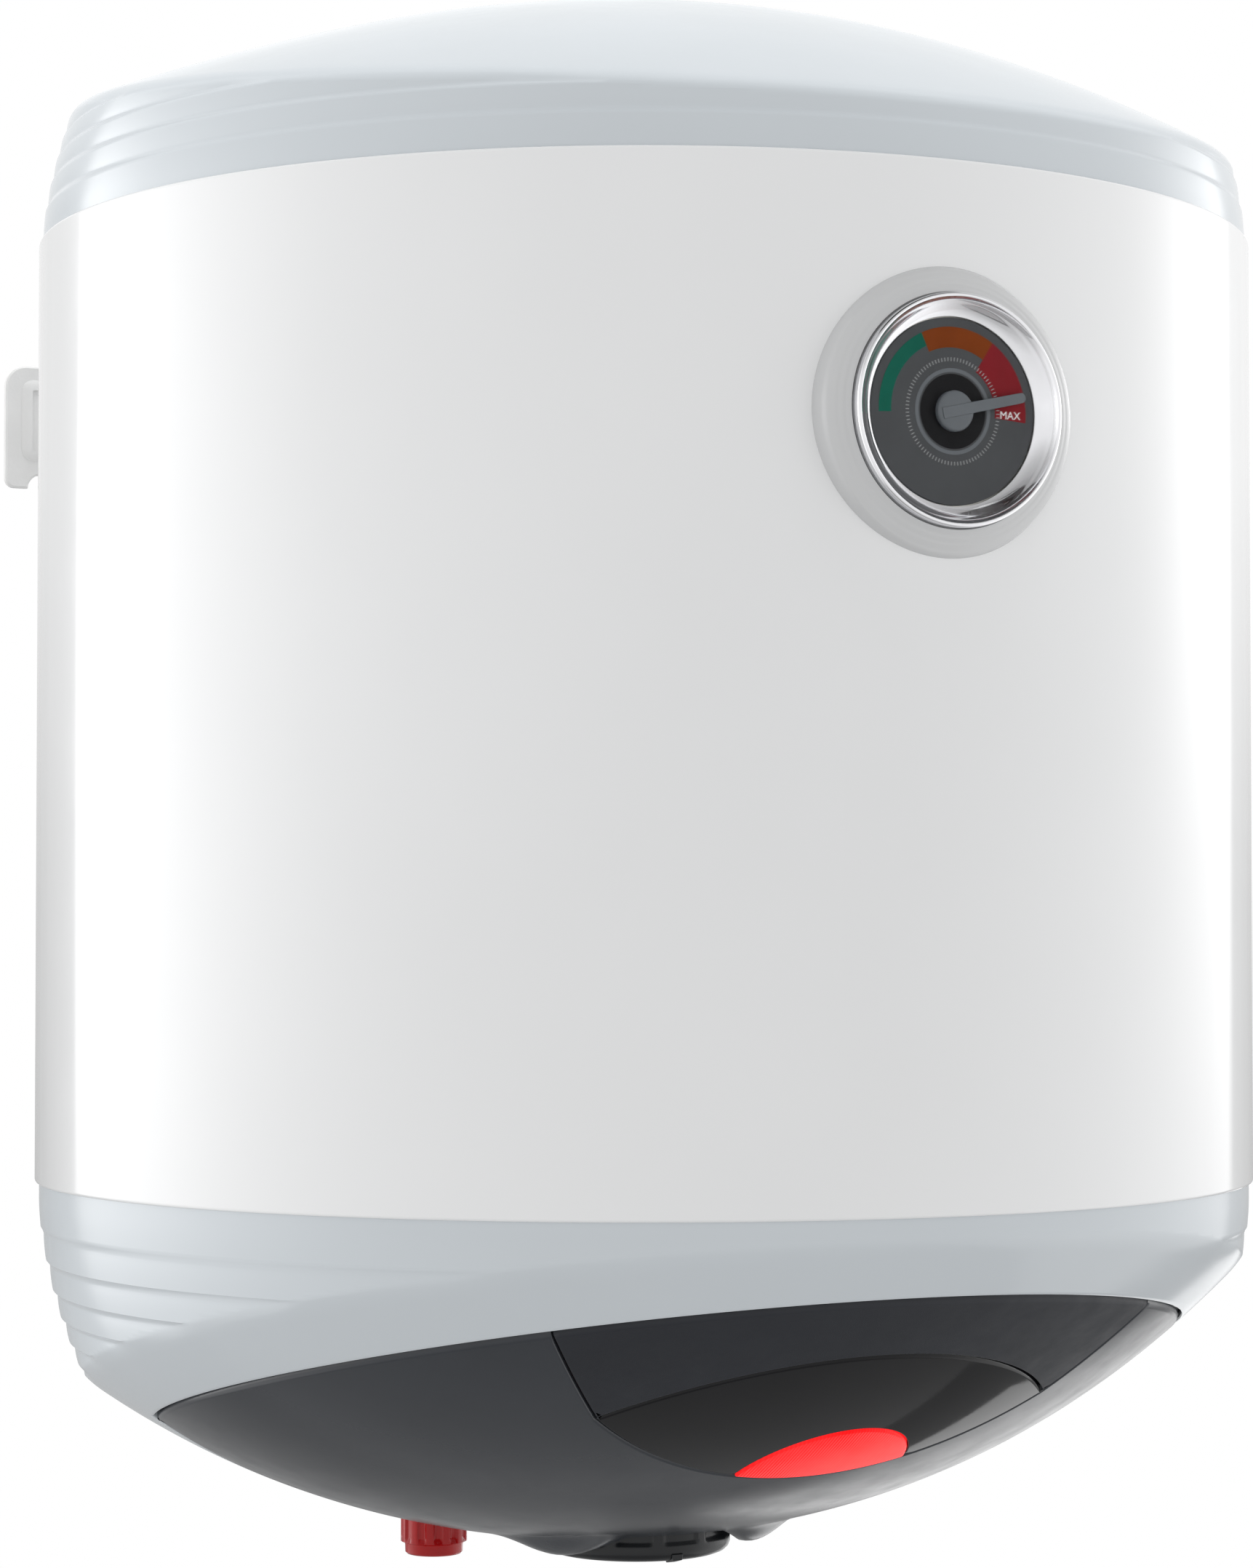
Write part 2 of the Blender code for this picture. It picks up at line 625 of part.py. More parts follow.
def flange_plate(paint):
    high = FLANGE_SEAT_Z - GASKET_THICKNESS - 2 * GAP
    plate = rod("flange_plate", NECK_RADIUS, high - PLATE_THICKNESS, high, paint, segments=36)
    cut(plate, *bolt_holes(0.0036))
    cut(plate, rod("probe_hole", 0.0043, -0.2, 0.0, None, (0, KNOB_Y, 0), 16))
    for x in (-ELEMENT_HALF, ELEMENT_HALF):
        cut(plate, rod("element_hole", ELEMENT_RADIUS + GAP, -0.2, 0, None, (x, ELEMENT_Y, 0), 16))
    return cut(plate, rod("anode_hole", 0.0043, -0.2, 0.0, None, (0, ANODE_Y, 0), 16))


def flange_bolt(name, angle, paint):
    seat = FLANGE_SEAT_Z - GASKET_THICKNESS - PLATE_THICKNESS - 3 * GAP
    spot = (BOLT_CIRCLE * sin(angle), BOLT_CIRCLE * cos(angle), 0)
    bolt = rod(name, 0.0060, seat - 0.0050, seat, paint, spot, segments=6)
    shank = rod("shank", 0.0029, seat - 0.0020, seat + 0.0120, None, spot, segments=12)
    return add(bolt, shank)


def heating_element(paint):
    """A hairpin tube: up one leg, round a bend and down the other."""
    low = FLANGE_SEAT_Z - 0.0220
    high = 0.150
    points = [(-ELEMENT_HALF, ELEMENT_Y, low), (-ELEMENT_HALF, ELEMENT_Y, high)]
    for i in range(1, 6):
        angle = pi * i / 6
        points.append((-ELEMENT_HALF * cos(angle), ELEMENT_Y, high + ELEMENT_HALF * sin(angle)))
    points += [(ELEMENT_HALF, ELEMENT_Y, high), (ELEMENT_HALF, ELEMENT_Y, low)]
    curve = sweep("heating_element", points, ELEMENT_RADIUS, paint)
    for spot in curve.data.splines[0].bezier_points:
        spot.handle_left_type = "VECTOR"
        spot.handle_right_type = "VECTOR"
    curve.data.resolution_u = 1
    return curve


def anode_rod(paint):
    low = FLANGE_SEAT_Z - GASKET_THICKNESS - PLATE_THICKNESS - 0.0080
    high = FLANGE_SEAT_Z + 0.0040
    profile = [(0, low), (0.0040, low), (0.0040, high), (0.0075, high), (0.0075, high + 0.170),
               (0.0065, high + 0.172), (0, high + 0.172)]
    return revolve("anode_rod", profile, paint, (0, ANODE_Y, 0), segments=20)


def water_pipe(name, side, inner_end, paint):
    spot = (side * PIPE_PITCH / 2, PIPE_Y, 0)
    return tube(name, PIPE_RADIUS, PIPE_BORE, PIPE_END_Z, inner_end, paint, spot, segments=24)


def inlet_diffuser(paint):
    """Plastic cap over the cold pipe's end, with side slots that spread the water."""
    spot = (PIPE_PITCH / 2, PIPE_Y, 0)
    low, high = -0.0180, 0.0300
    profile = [(PIPE_RADIUS + GAP, low), (PIPE_RADIUS + 0.0022, low), (PIPE_RADIUS + 0.0022, high),
               (0, high), (0, high - 0.0025), (PIPE_RADIUS + GAP, high - 0.0025)]
    bell = revolve("inlet_diffuser", profile + profile[:1], paint, spot, segments=24)
    for turn in (0, 1):
        size = (0.0400, 0.0070, 0.0090) if turn else (0.0070, 0.0400, 0.0090)
        cut(bell, box("slot", size, (spot[0], spot[1], high - 0.0110), None))
    return bell


def port_cap(name, side, paint):
    """Fluted transport cap that covers a threaded pipe end."""
    spot = (side * PIPE_PITCH / 2, PIPE_Y, PORT_CAP_LOW_Z)
    grip = PORT_CAP_RADIUS
    profile = [(0, 0), (grip - 0.0022, 0), (grip - 0.0016, 0.0006), (grip - 0.0016, 0.0035),
               (grip, 0.0050), (grip, 0.0210), (grip - 0.0010, 0.0215), (PIPE_RADIUS + GAP, 0.0215),
               (PIPE_RADIUS + GAP, 0.0036), (0, 0.0036)]
    cap = revolve(name, profile, paint, spot, segments=24)
    for i in range(12):
        angle = 2 * pi * (i + 0.23) / 12
        x = spot[0] + (grip + 0.0014) * sin(angle)
        y = spot[1] + (grip + 0.0014) * cos(angle)
        cut(cap, rod("flute", 0.0022, PORT_CAP_LOW_Z + 0.0064, PORT_CAP_LOW_Z + 0.03, None, (x, y, 0), 6))
    return cap


def insulation(paint):
    """Foam between tank and jacket, open below round the flange."""
    outer = JACKET_RADIUS - 0.0028
    lap = CAP_LAP + 0.0006
    inside_cap = CAP_RADIUS - CAP_WALL - 0.0022
    clear = 0.0006
    cavity = tank_profile(TANK_RADIUS + clear, TANK_LOW_Z, TANK_HIGH_Z, TANK_HEAD + clear,
                          NECK_RADIUS + clear)
    profile = [(0, 0.4080), (0.1000, 0.4010), (0.1700, 0.3720), (0.2030, 0.3530), (inside_cap, 0.3460),
               (inside_cap, JACKET_HEIGHT - lap), (outer, JACKET_HEIGHT - lap), (outer, lap),
               (inside_cap, lap), (inside_cap, -0.0040), (0.1950, -0.0120), (0.1500, -0.0400),
               (NECK_RADIUS + clear, -0.0560)]
    foam = revolve("insulation", profile + cavity, paint, segments=HIDDEN_SEGMENTS)
    for side in (-1, 1):
        spot = (side * PIPE_PITCH / 2, PIPE_Y, 0)
        cut(foam, rod("pipe_way", PIPE_RADIUS + 0.0006, -0.10, 0.05, None, spot))
        stud = (side * BRACKET_BOLT_X, 0, BRACKET_Z)
        cut(foam, rod("stud_way", 0.0102, 0.10, 0.240, None, stud, 20, TO_BACK))
    cut(foam, rod("gauge_way", 0.0350, 0.2110, 0.240, None, (0, 0, GAUGE_Z), 32, TO_FRONT))
    return cut(foam, rod("stem_way", 0.0050, 0.1900, 0.240, None, (0, 0, GAUGE_Z), 16, TO_FRONT))


# ---------------------------------------------------------------- temperature gauge
def gauge_collar(paint):
    """White rim that stands on the jacket, falling in three soft steps."""
    profile = [(0.0338, FACE - 0.0040), (0.0338, FACE + 0.0036), (0.0384, FACE + 0.0048),
               (0.0386, FACE + 0.0056), (0.0395, FACE + 0.0053),
               (0.0410, FACE + 0.0046), (0.0425, FACE + 0.0040), (0.0440, FACE + 0.0026),
               (0.0455, FACE + 0.0019), (0.0474, FACE - 0.0030), (0.0474, FACE - 0.0090),
               (0.0338, FACE - 0.0090)]
    collar = revolve("gauge_collar", profile, paint, GAUGE, 32, loop=True, tilt=TO_FRONT)
    return cut(collar, rod("jacket_form", JACKET_RADIUS + GAP, 0.15, 0.35, None, segments=180))


def gauge_bezel(paint):
    """Bright ring on the collar: a cone from the dial's edge out to a rim round the lens."""
    profile = [(0.0309, FACE + 0.0034), (0.0355, FACE + 0.0068), (0.0368, FACE + 0.0070),
               (0.0369, FACE + 0.0089), (0.0376, FACE + 0.0089), (0.0381, FACE + 0.0083),
               (0.0381, FACE + 0.0050), (0.0335, FACE + 0.0039), (0.0335, FACE + 0.0034)]
    return revolve("gauge_bezel", profile, paint, GAUGE, 32, loop=True, tilt=TO_FRONT)


def gauge_lens(paint):
    return rod("gauge_lens", 0.0365, FACE + 0.0073, FACE + 0.0085, paint, GAUGE, 40, TO_FRONT, 0.0003)


def gauge_dial(paint):
    dial = rod("gauge_dial", DIAL_RADIUS, FACE + 0.0022, FACE + 0.0031, paint, GAUGE, 40, TO_FRONT)
    return cut(dial, rod("arbor_hole", 0.0013, 0.20, 0.24, None, GAUGE, 12, TO_FRONT))


def gauge_pointer(paint):
    """A tapered arm with a round end on a hub disc and an arbor through the dial."""
    hub = revolve("gauge_pointer", [(0, FACE + 0.0012), (0.0010, FACE + 0.0012), (0.0010, FACE + 0.0034),
                                    (0.0067, FACE + 0.0034), (0.0067, FACE + 0.0050),
                                    (0.0060, FACE + 0.0055), (0, FACE + 0.0055)],
                  paint, GAUGE, 24, tilt=TO_FRONT)
    reach = 0.87 * DIAL_RADIUS
    arm = []
    for half, x in ((0.0025, 0.0), (0.0018, reach - 0.0018)):
        arm.append((x, half))
    tip = [(reach - 0.0018 + 0.0018 * sin(pi * i / 6), 0.0018 * cos(pi * i / 6)) for i in range(1, 6)]
    outline = arm + tip + [(x, -z) for x, z in arm[::-1]]
    turn = Matrix.Rotation(-POINTER_ANGLE, 4, "Y")
    rings = [[turn @ Vector((x, -y, z)) for x, z in outline] for y in (FACE + 0.0040, FACE + 0.0048)]
    return add(hub, loft("arm", rings, None, GAUGE))


def gauge_body(paint):
    """Closed can behind the dial, with a sensing stem that ends at the tank wall."""
    profile = [(0, 0.1958), (0.0040, 0.1958), (0.0040, FACE - 0.0130), (0.0328, FACE - 0.0130),
               (0.0328, FACE + 0.0019), (0.0020, FACE + 0.0019), (0.0020, FACE + 0.0006),
               (0, FACE + 0.0006)]
    return revolve("gauge_body", profile, paint, GAUGE, 40, tilt=TO_FRONT)


# ---------------------------------------------------------------- wall bracket and gland
def bracket_outline():
    """Front view of the plate: rounded upper corners and a short hook tab at each lower end."""
    half, high = BRACKET_HALF_WIDTH, BRACKET_HEIGHT / 2
    corner, tab_width, tab_drop = 0.0085, 0.0090, 0.0056
    right = []
    for i in range(4):
        angle = pi / 2 * i / 3
        right.append((half - corner + corner * sin(angle), high - corner + corner * cos(angle)))
    for i in range(4):
        angle = pi / 2 * i / 3
        radius = 0.0040
        right.append((half - radius + radius * cos(angle),
                      -high - tab_drop + radius - radius * sin(angle)))
    for i in range(4):
        angle = pi / 2 * i / 3
        right.append((half - tab_width - 0.0005 - tab_drop * (1 - cos(angle)),
                      -high - tab_drop + tab_drop * sin(angle)))
    return right + [(-x, z) for x, z in right[::-1]]


def wall_bracket(paint):
    """Stamped plate: its pocket stands forward of the flat rim that bears on the wall."""
    outline = bracket_outline()
    front, rear = BRACKET_REAR_Y - BRACKET_SHEET, BRACKET_REAR_Y
    rings = [[(x, y, z) for x, z in outline] for y in (front, rear)]
    plate = loft("wall_bracket", rings, paint, (0, 0, BRACKET_Z))
    for side in (-1, 1):
        x = side * BRACKET_BOLT_X
        spot = (x, 0, BRACKET_Z)
        cut(plate, rod("bolt_clearance", 0.0046, 0.20, 0.25, None, spot, 16, TO_BACK))
        hook_x = side * HOOK_X
        slot = box("hook_slot", (0.0100, 0.0200, 0.0160), (hook_x, BRACKET_REAR_Y, BRACKET_Z + 0.002), None)
        eye = rod("hook_eye", 0.0090, 0.20, 0.25, None, (hook_x, 0, BRACKET_Z - 0.0080), 14, TO_BACK)
        cut(plate, slot, eye)
    for side in (-1, 1):
        x = side * BRACKET_BOLT_X
        near = JACKET_AT_SPACER + GAP
        spot = (x, 0, BRACKET_Z)
        add(plate, tube("spacer", SPACER_RADIUS, 0.0046, near, front + 0.0010, None, spot, 20, TO_BACK))
    return plate


def bracket_bolt(name, side, paint):
    """Stud from the tank's pad through the spacer and the bracket."""
    spot = (side * BRACKET_BOLT_X, 0, BRACKET_Z)
    start = sqrt(TANK_RADIUS**2 - BRACKET_BOLT_X**2) + 0.0103
    return rod(name, 0.0040, start, BRACKET_REAR_Y - 0.0005, paint, spot, 16, TO_BACK, 0.0005)


def cable_gland(paint):
    """Blind grommet for the supply cable: its membrane is cut when the cable is fitted."""
    seat = bowl_z(GLAND_X, GLAND_Y)
    profile = [(0, seat - 0.0006), (0.0042, seat - 0.0006), (0.0042, seat - 0.0045),
               (0.0085, seat - 0.0045), (0.0108, seat - 0.0030), (0.0108, seat - 0.0016),
               (GLAND_RADIUS - GAP, seat - 0.0016), (GLAND_RADIUS - GAP, seat + 0.0120),
               (0.0042, seat + 0.0120), (0.0042, seat + 0.0009), (0, seat + 0.0009)]
    return revolve("cable_gland", profile, paint, (GLAND_X, GLAND_Y, 0), 28)


# ---------------------------------------------------------------- assembly
for leftover in list(bpy.data.objects):
    bpy.data.objects.remove(leftover, do_unlink=True)

AXIS = bpy.data.objects.new("heater_axis", None)
bpy.context.scene.collection.objects.link(AXIS)
AXIS.location = (0, -BRACKET_REAR_Y, -BRACKET_Z)

white_steel = material("white enamelled steel", (0.84, 0.84, 0.84), 0.12)
grey_plastic = material("pale grey gloss plastic", (0.62, 0.66, 0.69), 0.18)
dark_plastic = material("dark grey gloss plastic", (0.055, 0.060, 0.066), 0.20)
matt_plastic = material("dark matt plastic", (0.030, 0.034, 0.040), 0.55)
black_gloss = material("black gloss plastic", (0.006, 0.006, 0.007), 0.06)
red_lens = material("red lamp lens", (0.90, 0.03, 0.03), 0.15, transmission=0.4)
knob_plastic = material("black knob plastic", (0.020, 0.022, 0.025), 0.22)
red_plastic = material("red cap plastic", (0.55, 0.01, 0.01), 0.22)
blue_plastic = material("blue cap plastic", (0.01, 0.08, 0.50), 0.22)
tank_enamel = material("tank enamel", (0.05, 0.07, 0.14), 0.35)
foam_yellow = material("polyurethane foam", (0.72, 0.60, 0.33), 0.95)
zinc_steel = material("zinc plated steel", (0.60, 0.60, 0.58), 0.35, 1.0)
copper = material("element copper", (0.72, 0.36, 0.22), 0.32, 1.0)
magnesium = material("magnesium", (0.42, 0.42, 0.42), 0.60, 0.6)
rubber = material("black rubber", (0.02, 0.02, 0.02), 0.70)
chrome = material("chrome", (0.80, 0.80, 0.82), 0.05, 1.0)
glass = material("clear lens", (0.95, 0.97, 0.98), 0.02, transmission=1.0)
dial_paint = material("dial face", (0.075, 0.078, 0.082), 0.45)
pointer_paint = material("pointer", (0.11, 0.13, 0.14), 0.40)
bakelite = material("thermostat housing", (0.70, 0.68, 0.62), 0.45)
textured_paint = material("textured bracket paint", (0.78, 0.78, 0.77), 0.55)

outer_jacket(white_steel)
top_cap(grey_plastic)
bottom_cap(grey_plastic)
service_cover(dark_plastic)
cover_screw("cover_screw_left", -1, zinc_steel)
cover_screw("cover_screw_right", 1, zinc_steel)
control_panel(matt_plastic)
indicator_panel(black_gloss)
lamp_lens(red_lens)
pilot_lamp(red_lens)
thermostat_knob(knob_plastic)
thermostat_spindle(zinc_steel)
thermostat_body(bakelite)
reset_button(red_plastic)
thermostat_probe(copper)
inner_tank(tank_enamel)
insulation(foam_yellow)
flange_gasket(rubber)
flange_plate(zinc_steel)
for number, bolt_angle in enumerate(bolt_angles(), 1):
    flange_bolt(f"flange_bolt_{number}", bolt_angle, zinc_steel)
heating_element(copper)
anode_rod(magnesium)
water_pipe("hot_outlet_pipe", -1, 0.3600, zinc_steel)
water_pipe("cold_inlet_pipe", 1, 0.0100, zinc_steel)
inlet_diffuser(blue_plastic)
port_cap("hot_port_cap", -1, red_plastic)
port_cap("cold_port_cap", 1, blue_plastic)
gauge_collar(white_steel)
gauge_bezel(chrome)
gauge_lens(glass)
gauge_dial(dial_paint)
gauge_pointer(pointer_paint)
gauge_body(zinc_steel)
wall_bracket(textured_paint)
bracket_bolt("bracket_bolt_left", -1, zinc_steel)
bracket_bolt("bracket_bolt_right", 1, zinc_steel)
cable_gland(rubber)
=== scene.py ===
"""Looks of the wall-hung water heater. Shapes use the CAD model's axis: x to the right, y to the
back, z up from the jacket's lower edge, in metres."""

from math import atan2, cos, hypot, pi, radians, sin, sqrt

import bmesh
import bpy
import numpy as np
from mathutils import Matrix, Vector
from mathutils.geometry import delaunay_2d_cdt


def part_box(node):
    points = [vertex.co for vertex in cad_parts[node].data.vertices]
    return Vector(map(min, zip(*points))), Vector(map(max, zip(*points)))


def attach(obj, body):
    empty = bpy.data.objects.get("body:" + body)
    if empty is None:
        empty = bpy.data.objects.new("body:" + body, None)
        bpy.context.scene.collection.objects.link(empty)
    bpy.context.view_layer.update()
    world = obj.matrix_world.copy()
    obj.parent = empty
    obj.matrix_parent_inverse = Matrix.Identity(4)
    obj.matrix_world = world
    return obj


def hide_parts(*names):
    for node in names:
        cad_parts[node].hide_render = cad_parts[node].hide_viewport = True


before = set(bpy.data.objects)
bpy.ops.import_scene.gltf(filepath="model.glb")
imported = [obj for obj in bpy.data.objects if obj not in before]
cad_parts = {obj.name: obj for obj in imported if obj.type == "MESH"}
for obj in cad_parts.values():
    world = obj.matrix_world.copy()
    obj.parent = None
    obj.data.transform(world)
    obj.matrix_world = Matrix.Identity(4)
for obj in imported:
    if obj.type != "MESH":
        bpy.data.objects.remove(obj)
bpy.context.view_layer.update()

jacket_low, jacket_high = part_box("outer_jacket")
ORIGIN = Vector(((jacket_low.x + jacket_high.x) / 2, (jacket_low.y + jacket_high.y) / 2, jacket_low.z))

JACKET_RADIUS = 0.2250
JACKET_HEIGHT = 0.3430
CAP_RADIUS = 0.2234
CAP_WALL = 0.0030
CAP_LAP = 0.0120
TOP_RIDGES_Z, LOW_RIDGES_Z = 0.3461, -0.0059
REAR_EDGE_Y, REAR_BEND = 0.0580, 0.5730
KNOB_Y = 0.0070
KNOB_RADIUS = 0.0354
KNOB_LOW_Z = -0.1396
KNOB_HIGH_Z = -0.1122
POCKET_RADIUS = 0.0380
POCKET_FLOOR_Z = -0.1095
SPINDLE_HOLE = 0.0075
PIPE_X, PIPE_Y, PIPE_RADIUS = 0.0500, 0.0820, 0.0104
PORT_CAP_LOW_Z = -0.1490
PORT_CAP_RADIUS = 0.01275
GLAND_Y, GLAND_RADIUS = 0.1050, 0.0080
SEAM_TOP = Vector((0.1145, -0.1670))
PANEL_TIP = Vector((0.0862, -0.1408))
PANEL_FRONT_Y = -0.1848
PANEL_REAR_Y = -0.1195
LAMP_CENTRE, LAMP_RADIUS = (0.0080, -0.1165), 0.0332
GAUGE_Z = 0.2600
DIAL_RADIUS = 0.0305
POINTER_ANGLE = 12.5
BRACKET_REAR_Y, BRACKET_Z = 0.2350, 0.3000
BOLT_X, KEYHOLE_X = 0.0900, 0.1450
TURNS = 288


# ---------------------------------------------------------------- surfaces shared with the CAD
def low_crease_radius(angle):
    return 0.2052 + 0.0189 * cos(angle) - 0.0020 * cos(2 * angle)


def top_crease_radius(angle):
    return 0.2127 + 0.0073 * cos(angle)


def low_plane_z(y):
    """The tilted plane of the bottom cap's crease."""
    return -0.0615 - 0.2361 * y


def top_plane_z(y):
    """The tilted plane of the top cap's crease."""
    return 0.3879 + 0.1064 * y


def bowl_z(x, y):
    radius, angle = hypot(x, y), atan2(x, -y)
    rho = radius / low_crease_radius(angle)
    bulge = 1 + 0.16 * rho**2 + 0.32 * rho * cos(angle)
    return low_plane_z(y) - 0.0731 * (1 - rho**2) * bulge


def dome_z(x, y):
    radius, angle = hypot(x, y), atan2(x, -y)
    rho = radius / top_crease_radius(angle)
    bulge = 1 - 0.09 * rho**2 + 0.30 * rho * cos(angle)
    return top_plane_z(y) + 0.0462 * (1 - rho**2) * bulge


def cover_z(x, y):
    radius, angle = hypot(x, y - KNOB_Y), atan2(x, -(y - KNOB_Y))
    across = max(0.0, 1 - ((radius - 0.0440) / 0.0150) ** 2)
    along = max(0.0, 1 - ((abs(angle) - radians(63)) / radians(34)) ** 2)
    return bowl_z(x, y) - 0.0060 * across**1.5 * along**1.5


def surface_normal(surface, x, y, step=0.0004):
    """Unit normal that points down and out of the heater."""
    slope_x = (surface(x + step, y) - surface(x - step, y)) / (2 * step)
    slope_y = (surface(x, y + step) - surface(x, y - step)) / (2 * step)
    return Vector((slope_x, slope_y, -1)).normalized()


def height_at(surface, radius, angle):
    """A surface's height at a distance from the axis, along an angle from the front."""
    return surface(radius * sin(angle), -radius * cos(angle))


def spun(points, angle):
    """Points made of a radius and a height, placed along an angle from the front."""
    return [Vector((p.x * sin(angle), -p.x * cos(angle), p.y)) for p in points]


def front_edge(angle, spread=0.0):
    radius = low_crease_radius(angle) * (0.900 + 0.021 * cos(angle)) + spread
    return Vector((radius * sin(angle), -radius * cos(angle)))


def rear_edge_y(x, spread=0.0):
    return REAR_EDGE_Y + spread - REAR_BEND + sqrt(REAR_BEND**2 - x**2)


def leaf_tip_angle(spread=0.0):
    low, high = radians(60), radians(125)
    for _ in range(40):
        middle = (low + high) / 2
        point = front_edge(middle, spread)
        inside = point.y < rear_edge_y(point.x, spread)
        low, high = (middle, high) if inside else (low, middle)
    return low


def leaf_radius(angle, spread=0.0):
    """Distance from the axis to the service opening's edge, along an angle from the front."""
    if abs(angle) <= leaf_tip_angle(spread):
        return front_edge(angle, spread).length
    middle, along = REAR_EDGE_Y + spread - REAR_BEND, -cos(angle)
    return along * middle + sqrt((along * middle) ** 2 - middle**2 + REAR_BEND**2)


def arc_radius(half, sag):
    return (half**2 + sag**2) / (2 * sag)


def arc(half, tip_y, middle_y, count):
    """Points from x = half to x = -half of the circular arc with its middle at middle_y."""
    bend = arc_radius(half, abs(middle_y - tip_y))
    side = 1 if middle_y > tip_y else -1
    points = []
    for i in range(count + 1):
        x = half * cos(pi * i / count)
        points.append(Vector((x, middle_y - side * (bend - sqrt(bend**2 - x**2)))))
    return points


def wheel(count):
    """Angles of count even steps once round."""
    return [2 * pi * i / count for i in range(count)]


# ---------------------------------------------------------------- materials
def new_material(name):
    made = bpy.data.materials.new(name)
    made.use_nodes = True
    tree = made.node_tree
    return made, tree, tree.nodes["Principled BSDF"]


def add(tree, kind, inputs=(), **properties):
    """A new node. Inputs, by name or place, get a number, a colour or another node's socket."""
    made = tree.nodes.new(kind)
    for name, value in properties.items():
        setattr(made, name, value)
    fill(tree, made, inputs)
    return made


def fill(tree, node, inputs):
    for name, value in dict(inputs).items():
        if isinstance(value, bpy.types.NodeSocket):
            tree.links.new(value, node.inputs[name])
        else:
            node.inputs[name].default_value = value


def place(tree):
    """Where a point is on its own piece."""
    return add(tree, "ShaderNodeTexCoord").outputs["Object"]


def noise(tree, scale, detail=3.0, rough=0.5, stretch=(1, 1, 1)):
    turned = add(tree, "ShaderNodeMapping", {"Scale": stretch, "Vector": place(tree)})
    made = add(tree, "ShaderNodeTexNoise", {"Scale": scale, "Detail": detail, "Roughness": rough,
                                            "Vector": turned.outputs["Vector"]})
    return made.outputs["Fac"]


def spread_over(tree, value, low, high):
    """The middle of a noise, stretched to run from low to high."""
    made = add(tree, "ShaderNodeMapRange", {"From Min": 0.30, "From Max": 0.70, "To Min": low,
                                            "To Max": high, "Value": value})
    return made.outputs["Result"]


def mixed(tree, share, first, second, **properties):
    """One colour at share 0 and another at share 1. Each is a colour or a socket."""
    made = add(tree, "ShaderNodeMix", {"Factor": share, "A": first, "B": second}, data_type="RGBA",
               **properties)
    return made.outputs["Result"]


def bump(tree, shader, value, depth):
    made = add(tree, "ShaderNodeBump", {"Strength": 1.0, "Distance": depth, "Height": value})
    fill(tree, shader, {"Normal": made.outputs["Normal"]})


def finish(name, colour, rough, vary=0.06, rough_vary=0.04, cloud=14.0, grain=900.0, depth=0.00001,
           metallic=0.0, coat=0.0, stretch=(1, 1, 1), detail=3.0, shine=0.5):
    """A finish with slow colour and gloss drift and a fine surface grain."""
    made, tree, shader = new_material(name)
    drift = noise(tree, cloud, 4.0)
    darker = tuple(c * (1 - vary) for c in colour)
    lighter = tuple(min(1.0, c * (1 + vary)) for c in colour)
    tone = spread_over(tree, drift, 0.0, 1.0)
    gloss = noise(tree, cloud * 3.7, 5.0, 0.6, stretch)
    fill(tree, shader, {
        "Base Color": mixed(tree, tone, (*darker, 1), (*lighter, 1)),
        "Roughness": spread_over(tree, gloss, max(0.02, rough - rough_vary), rough + rough_vary),
        "Metallic": metallic, "Specular IOR Level": shine})
    bump(tree, shader, noise(tree, grain, detail, 0.5, stretch), depth)
    if coat:
        fill(tree, shader, {"Coat Weight": coat, "Coat Roughness": 0.04})
    return made


def ink(name, colour, rough=0.40, vary=0.06, shine=0.10):
    return finish(name, colour, rough, vary, 0.05, 150.0, 3000.0, 0.00001, shine=shine)


def lamp_finish():
    """Translucent red lens with fine moulded ribs that the lamp behind lights up."""
    made, tree, shader = new_material("red lamp lens")
    ribs = add(tree, "ShaderNodeTexWave", {"Scale": 260.0, "Distortion": 0.4, "Detail": 1.0,
                                           "Vector": place(tree)}).outputs["Fac"]
    glow = spread_over(tree, noise(tree, 45.0, 2.0), 0.0, 1.0)
    fill(tree, shader, {
        "Emission Color": mixed(tree, glow, (1.0, 0.006, 0.008, 1), (1.0, 0.022, 0.024, 1)),
        "Emission Strength": spread_over(tree, ribs, 0.74, 0.98),
        "Base Color": (0.50, 0.004, 0.004, 1), "Specular IOR Level": 0.06, "Roughness": 0.12})
    bump(tree, shader, ribs, 0.00008)
    return made


def glass_finish():
    made, tree, shader = new_material("clear gauge lens")
    fill(tree, shader, {
        "Base Color": (0.97, 0.98, 0.99, 1), "Transmission Weight": 1.0, "IOR": 1.08, "Alpha": 0.15,
        "Roughness": spread_over(tree, noise(tree, 60.0), 0.01, 0.03)})
    return made


def foam_finish():
    made, tree, shader = new_material("insulation foam")
    cells = add(tree, "ShaderNodeTexVoronoi", {"Scale": 350.0, "Vector": place(tree)})
    depth = cells.outputs["Distance"]
    fill(tree, shader, {
        "Base Color": mixed(tree, depth, (0.74, 0.62, 0.36, 1), (0.52, 0.42, 0.22, 1)),
        "Roughness": 0.95})
    bump(tree, shader, depth, 0.0006)
    return made


